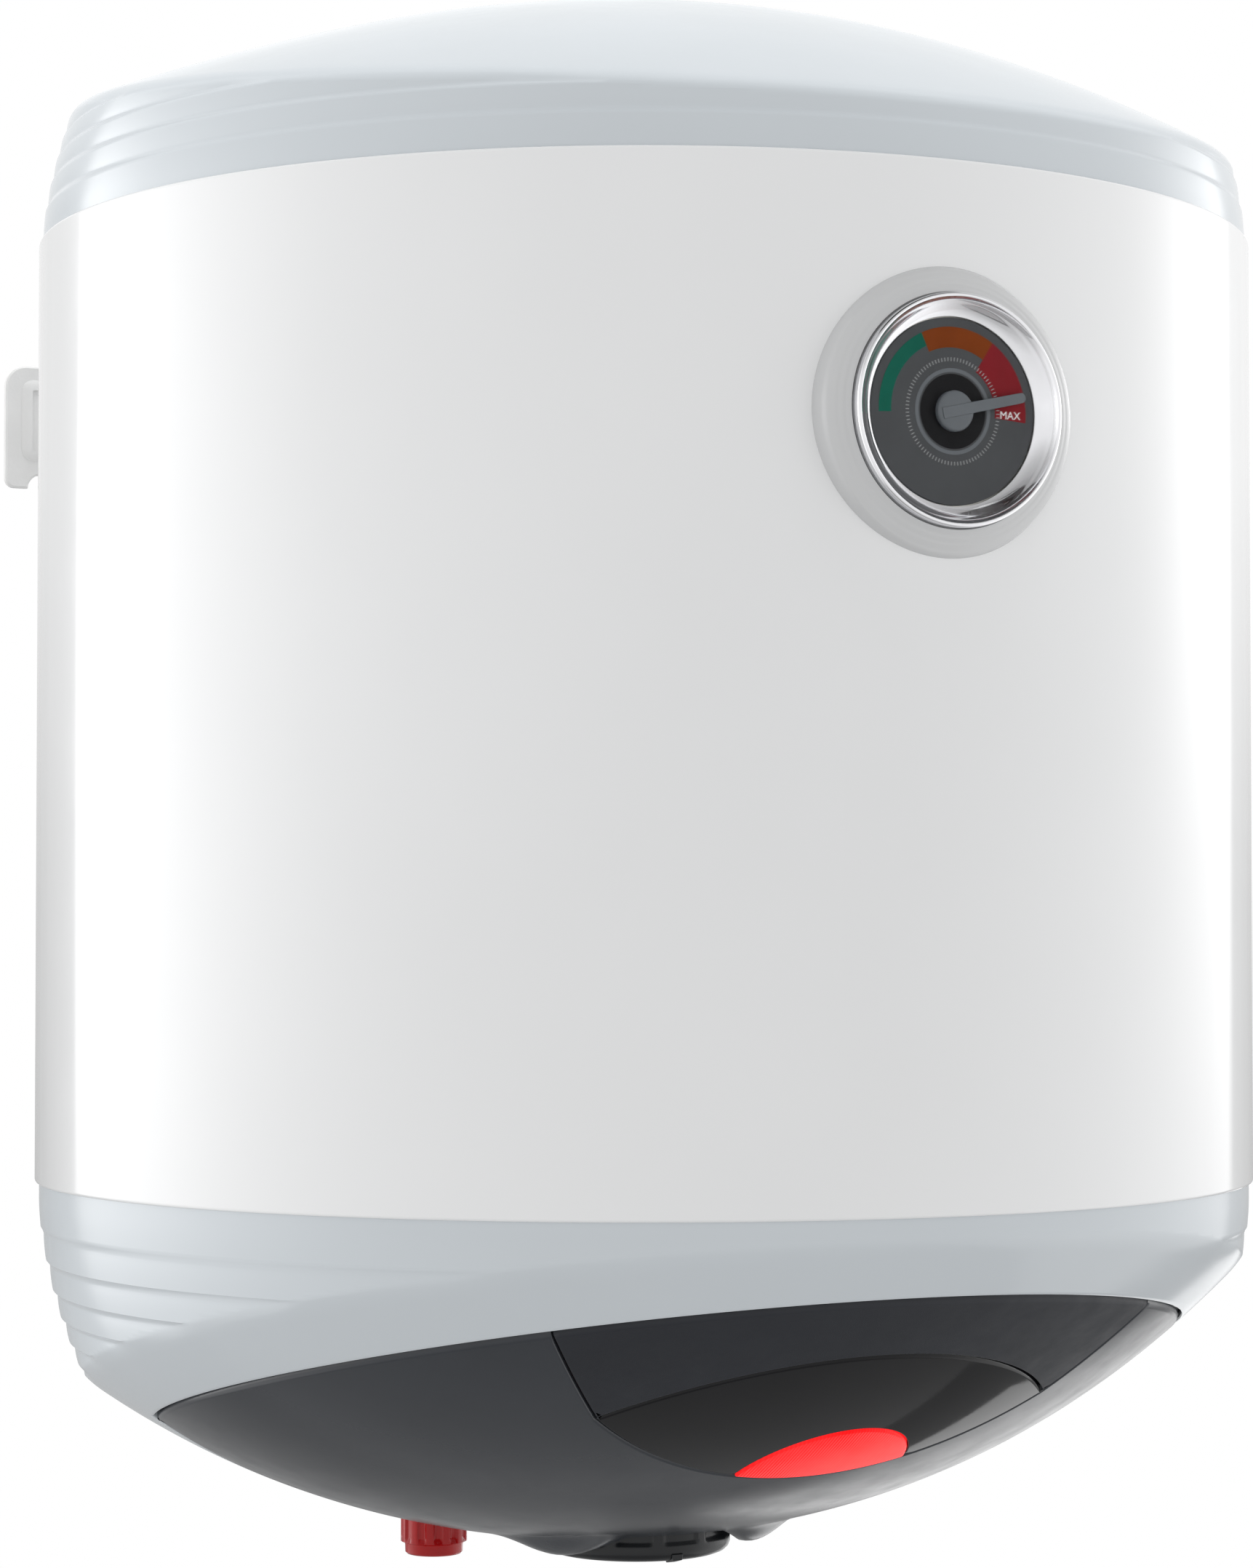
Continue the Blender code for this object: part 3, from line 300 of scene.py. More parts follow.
white_enamel = finish("white enamelled steel", (0.80, 0.805, 0.81), 0.13, 0.012, 0.03, 9.0, 260.0,
                      0.000006, coat=0.6)
cap_plastic = finish("pale grey gloss plastic", (0.580, 0.618, 0.648), 0.16, 0.02, 0.04, 7.0, 500.0,
                     0.000008, shine=0.45)
cover_plastic = finish("dark grey gloss plastic", (0.034, 0.0375, 0.044), 0.22, 0.06, 0.04, 18.0, 900.0,
                       0.000010, shine=0.35)
panel_plastic = finish("dark matt plastic", (0.0155, 0.0175, 0.0230), 0.52, 0.10, 0.06, 25.0, 2600.0,
                       0.000045, shine=0.35)
black_gloss = finish("black gloss plastic", (0.006, 0.006, 0.007), 0.06, 0.15, 0.02, 30.0, 400.0,
                     0.000003, shine=0.22)
knob_plastic = finish("black knob plastic", (0.010, 0.011, 0.0125), 0.24, 0.12, 0.06, 30.0, 1600.0,
                      0.000020, shine=0.35)
red_plastic = finish("red cap plastic", (0.36, 0.003, 0.004), 0.16, 0.10, 0.04, 60.0, 1200.0, 0.000012,
                     shine=0.30)
blue_plastic = finish("blue cap plastic", (0.010, 0.065, 0.42), 0.20, 0.10, 0.05, 60.0, 1200.0,
                      0.000012, coat=0.3)
chrome = finish("bright chrome", (0.86, 0.86, 0.88), 0.035, 0.02, 0.012, 40.0, 300.0, 0.0000003,
                metallic=1.0)
# Painted shade: the collar's own white plastic gets a grey base, darker than the jacket's white enamel,
# to stand in for the shade that falls on the collar.
collar_plastic_with_painted_shade = finish("white collar plastic darkened as painted shade", (0.57, 0.575, 0.58), 0.22, 0.015, 0.03, 20.0, 700.0,
                        0.000006, coat=0.3)
zinc = finish("zinc plated steel", (0.62, 0.61, 0.58), 0.34, 0.10, 0.08, 60.0, 500.0, 0.00003,
              metallic=1.0, stretch=(1, 1, 0.15))
copper = finish("dull copper", (0.66, 0.32, 0.19), 0.36, 0.12, 0.08, 80.0, 700.0, 0.00002, metallic=1.0)
magnesium = finish("cast magnesium", (0.42, 0.42, 0.43), 0.62, 0.12, 0.08, 70.0, 900.0, 0.00008,
                   metallic=0.7)
rubber = finish("black rubber", (0.022, 0.022, 0.023), 0.68, 0.15, 0.08, 60.0, 1500.0, 0.00005)
tank_enamel = finish("blue tank enamel", (0.05, 0.07, 0.15), 0.30, 0.25, 0.10, 22.0, 800.0, 0.00004)
ivory_plastic = finish("ivory thermostat plastic", (0.66, 0.64, 0.57), 0.45, 0.05, 0.05, 50.0, 1600.0,
                       0.00003)
bracket_paint = finish("textured bracket paint", (0.72, 0.72, 0.715), 0.50, 0.04, 0.08, 40.0, 1100.0,
                       0.00010, detail=6.0)
dial_paint = finish("dark dial face", (0.066, 0.069, 0.073), 0.42, 0.05, 0.05, 80.0, 3000.0, 0.000012,
                    shine=0.15)
pointer_paint = finish("grey pointer", (0.105, 0.118, 0.130), 0.40, 0.05, 0.05, 120.0, 3000.0, 0.00001)
green_print = ink("green print", (0.0033, 0.107, 0.070))
orange_print = ink("orange print", (0.188, 0.037, 0.0024))
red_print = ink("red print", (0.209, 0.0105, 0.016))
ring_print = ink("light grey print", (0.27, 0.28, 0.28), 0.42, shine=0.5)
black_print = ink("black print", (0.008, 0.008, 0.009), vary=0.10)
white_print = ink("white print", (0.82, 0.82, 0.82), 0.42, 0.03, shine=0.5)
lamp_red = lamp_finish()
clear_lens = glass_finish()
foam = foam_finish()


# ---------------------------------------------------------------- mesh helpers
def show(name, data):
    made = bpy.data.objects.new(name, data)
    bpy.context.scene.collection.objects.link(made)
    return made


def mesh_from(name, bm):
    mesh = bpy.data.meshes.new(name)
    bm.to_mesh(mesh)
    bm.free()
    return mesh


def smooth_by_angle(mesh, limit):
    """Smooth faces, with edges sharper than limit degrees kept crisp."""
    bm = bmesh.new()
    bm.from_mesh(mesh)
    for face in bm.faces:
        face.smooth = True
    for edge in bm.edges:
        edge.smooth = len(edge.link_faces) != 2 or edge.calc_face_angle(0.0) < radians(limit)
    bm.to_mesh(mesh)
    bm.free()


def piece(name, verts, faces, paint, body="heater", stands_for=(), slot=None, limit=32, weld=1e-6):
    """Makes a piece from points about the heater's axis and sets what it rides on and replaces."""
    bm = bmesh.new()
    made_verts = [bm.verts.new(ORIGIN + Vector(v)) for v in verts]
    for face in faces:
        corners = [made_verts[i] for i in face]
        if len(set(corners)) > 2:
            bm.faces.new(corners)
    bmesh.ops.remove_doubles(bm, verts=bm.verts, dist=weld)
    bmesh.ops.dissolve_degenerate(bm, edges=bm.edges, dist=weld / 2)
    bmesh.ops.recalc_face_normals(bm, faces=bm.faces)
    mesh = mesh_from(name, bm)
    smooth_by_angle(mesh, limit)
    return settle(name, mesh, paint, body, stands_for, slot)


def evaluated(made):
    """A mesh of an object as it stands, with its modifiers."""
    graph = bpy.context.evaluated_depsgraph_get()
    return bpy.data.meshes.new_from_object(made.evaluated_get(graph))


def settle(name, mesh, paint, body, stands_for, slot):
    """Paints a finished mesh, shows it and says what it rides on and replaces."""
    made = show(name, mesh)
    mesh.materials.append(paint)
    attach(made, body)
    if stands_for:
        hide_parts(*stands_for)
    return made


def strips(columns, closed):
    """Points and faces of a skin over columns of equal length that go once round."""
    size = len(columns[0])
    verts = [point for column in columns for point in column]
    faces = []
    for i in range(len(columns)):
        j = (i + 1) % len(columns)
        for k in range(size if closed else size - 1):
            m = (k + 1) % size
            faces.append((i * size + k, j * size + k, j * size + m, i * size + m))
    return verts, faces


def lathe(name, profile, paint, centre=(0, 0, 0), tilt=None, turns=96, closed=True, **more):
    """Spins (radius, height) points about a line through centre: Z, or towards the front if tilt."""
    columns = []
    for angle in wheel(turns):
        column = []
        for radius, height in profile:
            point = Vector((radius * cos(angle), radius * sin(angle), height))
            if tilt:
                point = Vector((point.x, -point.z, point.y))
            column.append(Vector(centre) + point)
        columns.append(column)
    return piece(name, *strips(columns, closed), paint, **more)


def cut(target, *tools):
    """Cuts helper objects out of target and removes them."""
    for tool in tools:
        step = target.modifiers.new("cut", "BOOLEAN")
        step.operation, step.solver, step.object = "DIFFERENCE", "EXACT", tool
    mesh = evaluated(target)
    target.modifiers.clear()
    target.data = mesh
    for tool in tools:
        bpy.data.objects.remove(tool)
    smooth_by_angle(mesh, 32)


def drill(centre, radius, low, high, axis="Z", turns=48):
    """A helper bar for cut, round a line through centre, from low to high along axis."""
    bm = bmesh.new()
    bmesh.ops.create_cone(bm, cap_ends=True, segments=turns, radius1=radius, radius2=radius,
                          depth=high - low)
    bmesh.ops.translate(bm, vec=(0, 0, (low + high) / 2), verts=bm.verts)
    if axis != "Z":
        turn = Matrix.Rotation(radians(90 if axis == "-Y" else -90), 4, "X")
        bmesh.ops.transform(bm, matrix=turn, verts=bm.verts)
    bmesh.ops.translate(bm, vec=ORIGIN + Vector(centre), verts=bm.verts)
    return show("drill", mesh_from("drill", bm))


def block(low, high):
    """A helper box for cut, between two corners."""
    bm = bmesh.new()
    bmesh.ops.create_cube(bm, size=1.0)
    bmesh.ops.scale(bm, vec=high - low, verts=bm.verts)
    bmesh.ops.translate(bm, vec=ORIGIN + (low + high) / 2, verts=bm.verts)
    return show("block", mesh_from("block", bm))


def soften(made, width, segments):
    step = made.modifiers.new("soft edges", "BEVEL")
    step.width, step.segments = width, segments


# ---------------------------------------------------------------- end caps
def ridge_side(direction):
    """A cap's ridged side: radius and ridge-free radius at a height, and the heights to sample."""
    start, end, pitch, shrink, lean, curl = (
        (TOP_RIDGES_Z, 0.4180, 0.0105, 0.90, 0.130, 2.40) if direction > 0
        else (LOW_RIDGES_Z, -0.1100, 0.0130, 0.905, 0.100, 2.70))

    def envelope(z):
        away = abs(z - start)
        return CAP_RADIUS - lean * away - curl * away**2

    ridges, z = [], start
    while abs(z - start) < abs(end - start) and pitch > 0.0022:
        ridges.append((z, pitch))
        z += direction * pitch
        pitch *= shrink

    def radius(height):
        if direction * (height - start) <= 0:
            return CAP_RADIUS
        for low, size in ridges:
            t = direction * (height - low) / size
            if t < 1:
                drop = envelope(low) - envelope(low + direction * size)
                if t < 0.78:
                    share = 0.35 * (t / 0.78) ** 1.7
                else:
                    share = 0.35 + 0.65 * (1 - (1 - (t - 0.78) / 0.22) ** 1.7)
                return envelope(low) - drop * share
        return envelope(height)

    samples = [start - direction * 0.0020, start]
    for low, size in ridges:
        samples += [low + direction * size * t
                    for t in (0.10, 0.24, 0.40, 0.56, 0.70, 0.78, 0.83, 0.88, 0.93, 0.97, 1.0)]
    return radius, envelope, samples


def crease(surface, radius_at, guess, angle):
    """Height where the ridged side meets the end surface."""
    z = guess
    for _ in range(12):
        z = height_at(surface, radius_at(z), angle)
    return z


def cap_angles(extra=()):
    """Even angles once round, with the nearest one moved onto each extra angle."""
    angles = [2 * pi * i / TURNS - pi for i in range(TURNS)]
    for tip in extra:
        nearest = min(range(TURNS), key=lambda i: abs(angles[i] - tip))
        angles[nearest] = tip
    return angles


def corner(side_point, apex, end_point, steps=5):
    """Short curve from side_point to end_point pulled towards apex."""
    return [side_point * (1 - t) ** 2 + apex * 2 * t * (1 - t) + end_point * t**2
            for t in (i / steps for i in range(steps + 1))]


def side_column(angle, direction, surface, fillet, guess):
    """(radius, height) points of the ridged side, then round the crease, and the radius inside it."""
    radius_at, envelope, samples = SIDES[direction]
    z_crease = crease(surface, envelope, guess, angle)
    stop = z_crease - direction * fillet
    points = [Vector((radius_at(z), z)) for z in
              (z if direction * (z - stop) < 0 else stop for z in samples)]
    apex = Vector((envelope(z_crease), z_crease))
    inner = apex.x - fillet * 1.3
    end = Vector((inner, height_at(surface, inner, angle)))
    return points + corner(points[-1], apex, end), inner


SIDES = {1: ridge_side(1), -1: ridge_side(-1)}


def top_shell():
    columns = []
    for angle in cap_angles():
        guess = top_plane_z(-top_crease_radius(angle) * cos(angle))
        outer, inner = side_column(angle, 1, dome_z, 0.0034, guess)
        low = JACKET_HEIGHT - CAP_LAP
        column = [Vector((CAP_RADIUS, low))] + outer
        for i in range(1, 31):
            r = inner * (1 - (i / 30) ** 1.15)
            column.append(Vector((r, height_at(dome_z, r, angle))))
        envelope = SIDES[1][1]
        hollow = []
        for share in (0.0, 0.3, 0.6, 0.8, 0.92, 1.0):
            r = share * (inner - 0.0030)
            hollow.append(Vector((r, height_at(dome_z, r, angle) - CAP_WALL)))
        ceiling = hollow[-1].y
        hollow += [Vector((min(envelope(max(z, TOP_RIDGES_Z)), CAP_RADIUS) - CAP_WALL, z))
                   for z in (ceiling - 0.004, (ceiling + low) / 2, low)]
        columns.append(spun(column + hollow, angle))
    piece("top_shell", *strips(columns, True), cap_plastic, stands_for=["top_cap"], slot="end_caps",
          limit=40)


def bottom_shell():
    gap = 0.0008
    tip = leaf_tip_angle(gap)
    columns = []
    for angle in cap_angles((tip, -tip)):
        guess = low_plane_z(-low_crease_radius(angle) * cos(angle))
        outer, inner = side_column(angle, -1, bowl_z, 0.0026, guess)
        high = CAP_LAP
        edge = leaf_radius(angle, gap)
        column = [Vector((CAP_RADIUS, high))] + outer

        def skin(r, lift=0.0):
            return Vector((r, height_at(bowl_z, r, angle) + lift))

        start = edge + 0.0012
        for i in range(1, 29):
            column.append(skin(inner + (start - inner) * i / 28))
        column += [skin(edge + 0.0004, 0.00035), skin(edge, 0.0012)]
        hollow = [skin(edge, CAP_WALL), skin(edge + 0.0010, CAP_WALL + 0.0006)]
        for share in (0.25, 0.5, 0.75, 1.0):
            r = edge + 0.0010 + (inner - 0.0035 - edge - 0.0010) * share
            hollow.append(skin(r, CAP_WALL + 0.0006))
        envelope = SIDES[-1][1]
        floor = hollow[-1].y
        for share in (0.12, 0.5, 1.0):
            z = floor + (high - floor) * share
            hollow.append(Vector((min(envelope(min(z, LOW_RIDGES_Z)), CAP_RADIUS) - CAP_WALL, z)))
        columns.append(spun(column + hollow, angle))
    shell = piece("bottom_shell", *strips(columns, True), cap_plastic, stands_for=["bottom_cap"],
                  slot="end_caps", limit=40)
    holes = ((-PIPE_X, PIPE_Y, 0.0135), (PIPE_X, PIPE_Y, 0.0135), (0, GLAND_Y, GLAND_RADIUS + 0.0003))
    cut(shell, *[drill((x, y, 0), radius, -0.20, 0.0) for x, y, radius in holes])


def jacket():
    rim, height = 0.0012, JACKET_HEIGHT
    profile = [(JACKET_RADIUS - 0.0024, 0.0012), (JACKET_RADIUS - 0.0018, 0.0002)]
    for z, start in ((rim, -90), (height - rim, 0)):
        for i in range(7):
            turn = radians(start + 15 * i)
            profile.append((JACKET_RADIUS - rim + rim * cos(turn), z + rim * sin(turn)))
    profile += [(JACKET_RADIUS - 0.0018, height - 0.0002), (JACKET_RADIUS - 0.0024, height - 0.0012)]
    profile += [(JACKET_RADIUS - 0.0014, height - 0.0060), (JACKET_RADIUS - 0.0014, 0.0060)]
    shell = lathe("jacket_shell", profile, white_enamel, turns=TURNS, stands_for=["outer_jacket"],
                  slot="jacket_white", limit=50)
    cut(shell, drill((0, 0, GAUGE_Z), 0.0345, 0.190, 0.240, "-Y"),
        drill((-BOLT_X, 0, BRACKET_Z), 0.0065, 0.190, 0.240, "Y"),
        drill((BOLT_X, 0, BRACKET_Z), 0.0065, 0.190, 0.240, "Y"))


# ---------------------------------------------------------------- plates that follow the bowl
def inset(points, distance):
    """Moves each side of a closed outline, listed anticlockwise, inwards by distance."""
    made = []
    for i, point in enumerate(points):
        a = (point - points[i - 1]).normalized()
        b = (points[(i + 1) % len(points)] - point).normalized()
        first, second = Vector((-a.y, a.x)), Vector((-b.y, b.x))
        miter = (first + second) / max(0.35, 1 + first.dot(second))
        made.append(point + miter * distance)
    return made


def anticlockwise(points):
    turn = sum(a.x * b.y - a.y * b.x for a, b in zip(points, points[1:] + points[:1]))
    return points if turn > 0 else points[::-1]


def flat_rows(points):
    return np.array([(p.x, p.y) for p in points])


def inside(points, outline):
    """Which of the rows of points lie inside a closed outline."""
    ring = flat_rows(outline)
    found = np.zeros(len(points), bool)
    for a, b in zip(ring, np.roll(ring, -1, axis=0)):
        crosses = (a[1] > points[:, 1]) != (b[1] > points[:, 1])
        with np.errstate(divide="ignore", invalid="ignore"):
            at = (b[0] - a[0]) * (points[:, 1] - a[1]) / (b[1] - a[1]) + a[0]
        found ^= crosses & (points[:, 0] < at)
    return found


def between(points, loops):
    """Which of the rows of points lie inside the first loop and outside the others."""
    found = inside(points, loops[0])
    for hole in loops[1:]:
        found &= ~inside(points, hole)
    return found


def resample(points, step):
    """Adds points along an outline's long sides."""
    made = []
    for a, b in zip(points, points[1:] + points[:1]):
        count = max(1, round((b - a).length / step))
        made += [a.lerp(b, i / count) for i in range(count)]
    return made


def rolled_edge(loop, lifted, edge, verts, normals, faces):
    """Adds the rings of points that round a plate's edge over, and returns their ids from outside in."""
    inwards = [Vector((-(b - a).y, (b - a).x)).normalized()
               for a, b in zip(loop[-1:] + loop[:-1], loop[1:] + loop[:1])]
    rings = []
    for lean in (radians(90), radians(60), radians(30), 0.0):
        ids = []
        for point, inward in zip(inset(loop, edge * (1 - sin(lean))), inwards):
            base = surface_normal(lifted, point.x, point.y)
            side = Vector((-inward.x, -inward.y, 0))
            ids.append(len(verts))
            verts.append(Vector((point.x, point.y, lifted(point.x, point.y) + edge * (1 - cos(lean)))))
            normals.append((base * cos(lean) + side * sin(lean)).normalized())
        rings.append(ids)
    for low, high in zip(rings, rings[1:]):
        for i in range(len(loop)):
            j = (i + 1) % len(loop)
            faces.append((low[j], low[i], high[i], high[j]))
    return rings


def skin_grid(loops, spacing):
    """Staggered points between the loops, clear of their rims."""
    rims = flat_rows(p for loop in loops for p in loop)
    low, high = flat_rows(loops[0]).min(0), flat_rows(loops[0]).max(0)
    xs, ys = np.arange(low[0], high[0], spacing), np.arange(low[1], high[1], spacing * 0.87)
    grid = np.array([(x + (k % 2) * spacing / 2, y) for k, y in enumerate(ys) for x in xs])
    grid = grid[between(grid, loops)]
    near = np.array([((rims - spot) ** 2).sum(1).min() for spot in grid])
    return grid[near > (spacing * 0.6) ** 2]


def skin_faces(rims, loops, grid_ids, verts):
    """Triangles that join the innermost rings and the points between them, facing down."""
    ids, edges = [], []
    for ring in rims:
        edges += [(len(ids) + i, len(ids) + (i + 1) % len(ring)) for i in range(len(ring))]
        ids += ring
    ids += grid_ids
    points = [Vector((verts[i].x, verts[i].y)) for i in ids]
    found = delaunay_2d_cdt(points, edges, [], 0, 1e-9)
    spots, triangles, origin = found[0], found[2], found[3]
    index = [ids[o[0]] if o else None for o in origin]
    middles = np.array([np.mean([(spots[i].x, spots[i].y) for i in t], axis=0) for t in triangles])
    made = []
    for t, ok in zip(triangles, between(middles, loops)):
        corners = tuple(index[i] for i in t)[::-1]
        if ok and None not in corners:
            a, b, c = (verts[i] for i in corners)
            made.append(corners[::-1] if (b - a).cross(c - a).z > 0 else corners)
    return made


def plate(name, outline, surface, paint, edge=0.0008, thick=0.0025, spacing=0.0030, holes=(),
          proud=0.0, stands_for=(), slot=None):
    """A curved sheet under surface with rounded edges, and true normals for clean reflections."""
    def lifted(x, y):
        return surface(x, y) - proud

    loops = [anticlockwise(resample(outline, spacing))]
    loops += [anticlockwise(hole)[::-1] for hole in holes]
    verts, normals, faces = [], [], []
    edges = [rolled_edge(loop, lifted, edge, verts, normals, faces) for loop in loops]
    rims = [rings[-1] for rings in edges]
    rim_loops = [[Vector((verts[i].x, verts[i].y)) for i in rim] for rim in rims]
    grid = skin_grid(rim_loops, spacing)
    grid_ids = list(range(len(verts), len(verts) + len(grid)))
    for x, y in grid:
        verts.append(Vector((x, y, lifted(x, y))))
        normals.append(surface_normal(lifted, x, y))
    skin = skin_faces(rims, rim_loops, grid_ids, verts)
    faces += skin
    wall_start = len(faces)
    back = {}
    for rings in edges:
        outer = rings[0]
        lid = {}
        for i, rim_id in zip(outer, rings[-1]):
            lid[i] = back[rim_id] = len(verts)
            verts.append(Vector((verts[i].x, verts[i].y, surface(verts[i].x, verts[i].y) + thick)))
        for i, j in zip(outer, outer[1:] + outer[:1]):
            faces.append((i, j, lid[j], lid[i]))
    for t in skin:
        for i in t:
            if i not in back:
                back[i] = len(verts)
                verts.append(verts[i] + Vector((0, 0, thick + proud)))
        corners = [back[i] for i in t]
        if len(set(corners)) == 3:
            faces.append(tuple(corners[::-1]))
    mesh = bpy.data.meshes.new(name)
    mesh.from_pydata([ORIGIN + v for v in verts], [], faces)
    mesh.polygons.foreach_set("use_smooth", [True] * len(mesh.polygons))
    mesh.normals_split_custom_set([normals[i] if polygon.index < wall_start else polygon.normal.copy()
                                   for polygon in mesh.polygons for i in polygon.vertices])
    mesh.validate()
    settle(name, mesh, paint, "heater", stands_for, slot)


def seam_outlines():
    """Outlines of the cover, the control panel and the indicator panel."""
    tip_angle = leaf_tip_angle()
    seam_angle = atan2(SEAM_TOP.x, -SEAM_TOP.y)
    rim = [front_edge(seam_angle + (tip_angle - seam_angle) * i / 40) for i in range(41)]
    half = rim[-1].x
    rear = [Vector((half * cos(pi * i / 80), rear_edge_y(half * cos(pi * i / 80))))
            for i in range(1, 80)]
    left_rim = [Vector((-p.x, p.y)) for p in rim[::-1]]
    lens_rear = arc(PANEL_TIP.x, PANEL_TIP.y, PANEL_REAR_Y, 48)
    cover = rim + rear + left_rim + lens_rear[::-1]
    lens_front = arc(PANEL_TIP.x, PANEL_TIP.y, PANEL_FRONT_Y, 48)
    front = [front_edge(seam_angle * (1 - i / 40)) for i in range(81)]
    control = front + lens_front[::-1]
    lens = lens_front + lens_rear[1:-1][::-1]
    return cover, control, lens


def ring_of(centre, radius, count):
    return [Vector((centre[0] + radius * cos(t), centre[1] + radius * sin(t))) for t in wheel(count)]


def front_inserts():
    """The cover, the control panel, and the indicator panel that the lamp's lens is cut off by."""
    cover, control, lens = seam_outlines()
    gap = 0.0004
    cover = inset(anticlockwise(cover), gap)
    control = inset(anticlockwise(control), gap)
    lens = inset(anticlockwise(lens), 0.0002)
    plate("cover_skin", cover, cover_z, cover_plastic, 0.0010, spacing=0.0026,
          holes=[ring_of((0, KNOB_Y), POCKET_RADIUS, 96)], stands_for=["service_cover"],
          slot="dark_cover")
    plate("control_skin", control, bowl_z, panel_plastic, 0.0009, stands_for=["control_panel"],
          slot="matt_panel")
    circle = ring_of(LAMP_CENTRE, LAMP_RADIUS, 140)
    in_lens = inside(flat_rows(circle), lens)
    start = next(i for i in range(len(circle)) if in_lens[i] and not in_lens[i - 1])
    lamp_arc = [p for p, ok in zip(circle[start:] + circle[:start], np.roll(in_lens, -start)) if ok]
    bend = arc_radius(PANEL_TIP.x, abs(PANEL_REAR_Y - PANEL_TIP.y))
    first, last = lamp_arc[0], lamp_arc[-1]
    chord = []
    for i in range(25):
        x = last.x + (first.x - last.x) * i / 24
        chord.append(Vector((x, PANEL_REAR_Y - bend + sqrt(bend**2 - x**2) - 0.0002)))
    lamp = anticlockwise(lamp_arc + chord)
    rear_half = sorted((p for p in lens if p.y > PANEL_TIP.y - 0.0001), key=lambda p: p.x)
    left = [p for p in rear_half if p.x < min(first.x, last.x) - 0.0006]
    right = [p for p in rear_half if p.x > max(first.x, last.x) + 0.0006]
    lamp_edge = lamp_arc if first.x < last.x else lamp_arc[::-1]
    front_half = sorted((p for p in lens if p.y <= PANEL_TIP.y - 0.0001), key=lambda p: -p.x)
    indicator = anticlockwise(left + lamp_edge + right + front_half)
    plate("indicator_skin", inset(indicator, 0.0001), bowl_z, black_gloss, 0.0006,
          stands_for=["indicator_panel"], slot="black_panel")
    plate("lamp_skin", inset(lamp, 0.0002), bowl_z, lamp_red, 0.0007, spacing=0.0020, proud=0.0006,
          stands_for=["pilot_lamp_lens"], slot="lamp_lens")


def dark_ledge():
    """Rib behind the service opening's edge that the cover rests on."""
    tip = leaf_tip_angle()
    columns = []
    for angle in cap_angles((tip, -tip)):
        outer, inner = leaf_radius(angle, 0.0050), leaf_radius(angle, 0.0) - 0.0080
        column = []
        for r, lift in ((outer, 0.0038), (outer, 0.0060), (inner, 0.0060), (inner, 0.0038)):
            x, y = r * sin(angle), -r * cos(angle)
            column.append(Vector((x, y, bowl_z(x, y) + lift)))
        columns.append(column)
    piece("cover_ledge", *strips(columns, True), cover_plastic, slot="dark_cover")


def knob_pocket():
    wall = 0.0018
    columns = []
    for angle in wheel(96):
        column = []
        for r, z in ((SPINDLE_HOLE, POCKET_FLOOR_Z), (SPINDLE_HOLE, POCKET_FLOOR_Z + wall),
                     (POCKET_RADIUS + wall, POCKET_FLOOR_Z + wall), (POCKET_RADIUS + wall, None),
                     (POCKET_RADIUS, None), (POCKET_RADIUS, POCKET_FLOOR_Z - 0.0020),
                     (POCKET_RADIUS - 0.0006, POCKET_FLOOR_Z - 0.0006),
                     (POCKET_RADIUS - 0.0020, POCKET_FLOOR_Z)):
            x, y = r * cos(angle), KNOB_Y + r * sin(angle)
            column.append(Vector((x, y, cover_z(x, y) + 0.0012 if z is None else z)))
        columns.append(column)
    piece("knob_pocket", *strips(columns, True), cover_plastic, slot="dark_cover", limit=50)


# ---------------------------------------------------------------- knob and transport caps
def soft_box(value, half, soft):
    """1 inside half, 0 beyond half + soft, with a smooth shoulder."""
    t = max(0.0, min(1.0, (half + soft - abs(value)) / soft))
    return t * t * (3 - 2 * t)


def knob():
    """The knob with its twelve recessed grips, and its pointer nub."""
    height = KNOB_HIGH_Z - KNOB_LOW_Z
    levels = [0.0034 + (height - 0.0040) * i / 26 for i in range(27)]
    columns = []
    for angle in wheel(12 * 20):
        column = [Vector((r, 0, z)) for r, z in
                  ((0, 0.0009), (0.012, 0.0008), (0.0240, 0.0004), (KNOB_RADIUS - 0.0052, 0.0),
                   (KNOB_RADIUS - 0.0034, 0.0001), (KNOB_RADIUS - 0.0018, 0.0007),
                   (KNOB_RADIUS - 0.0006, 0.0018))]
        cell = ((angle + radians(26) + radians(15 + 0.9)) % radians(30)) - radians(15)
        for z in levels:
            across = soft_box(cell * KNOB_RADIUS, 0.0064, 0.0007)
            up = soft_box(z - 0.0125, 0.0058, 0.0007)
            column.append(Vector((KNOB_RADIUS - 0.0009 * across * up, 0, z)))
        column += [Vector((r, 0, z)) for r, z in
                   ((KNOB_RADIUS - 0.0004, height), (KNOB_RADIUS - 0.0022, height),
                    (KNOB_RADIUS - 0.0022, 0.0045), (0.0062, 0.0045), (0.0062, height - 0.004),
                    (0.0036, height - 0.004), (0.0036, 0.0070), (0, 0.0070))]
        columns.append([Vector((p.x * sin(angle), KNOB_Y - p.x * cos(angle), KNOB_LOW_Z + p.z))
                        for p in column])
    piece("knob_shell", *strips(columns, False), knob_plastic, body="knob",
          stands_for=["thermostat_knob"], slot="knob", limit=45)
    nub = []
    for x, y, z in ((0.0019, -KNOB_RADIUS - 0.0004, 0.0006), (0.0019, -KNOB_RADIUS + 0.0060, -0.0010),
                    (-0.0019, -KNOB_RADIUS + 0.0060, -0.0010), (-0.0019, -KNOB_RADIUS - 0.0004, 0.0006)):
        nub.append((x, y + KNOB_Y, KNOB_LOW_Z + z))
    top = [(x * 1.2, y, KNOB_LOW_Z + 0.0030) for x, y, _ in nub]
    verts = nub + top
    faces = [(0, 1, 2, 3), (7, 6, 5, 4)] + [(i, (i + 1) % 4, 4 + (i + 1) % 4, 4 + i) for i in range(4)]
    mark = piece("knob_mark", verts, faces, knob_plastic, body="knob", slot="knob")
    soften(mark, 0.0004, 3)


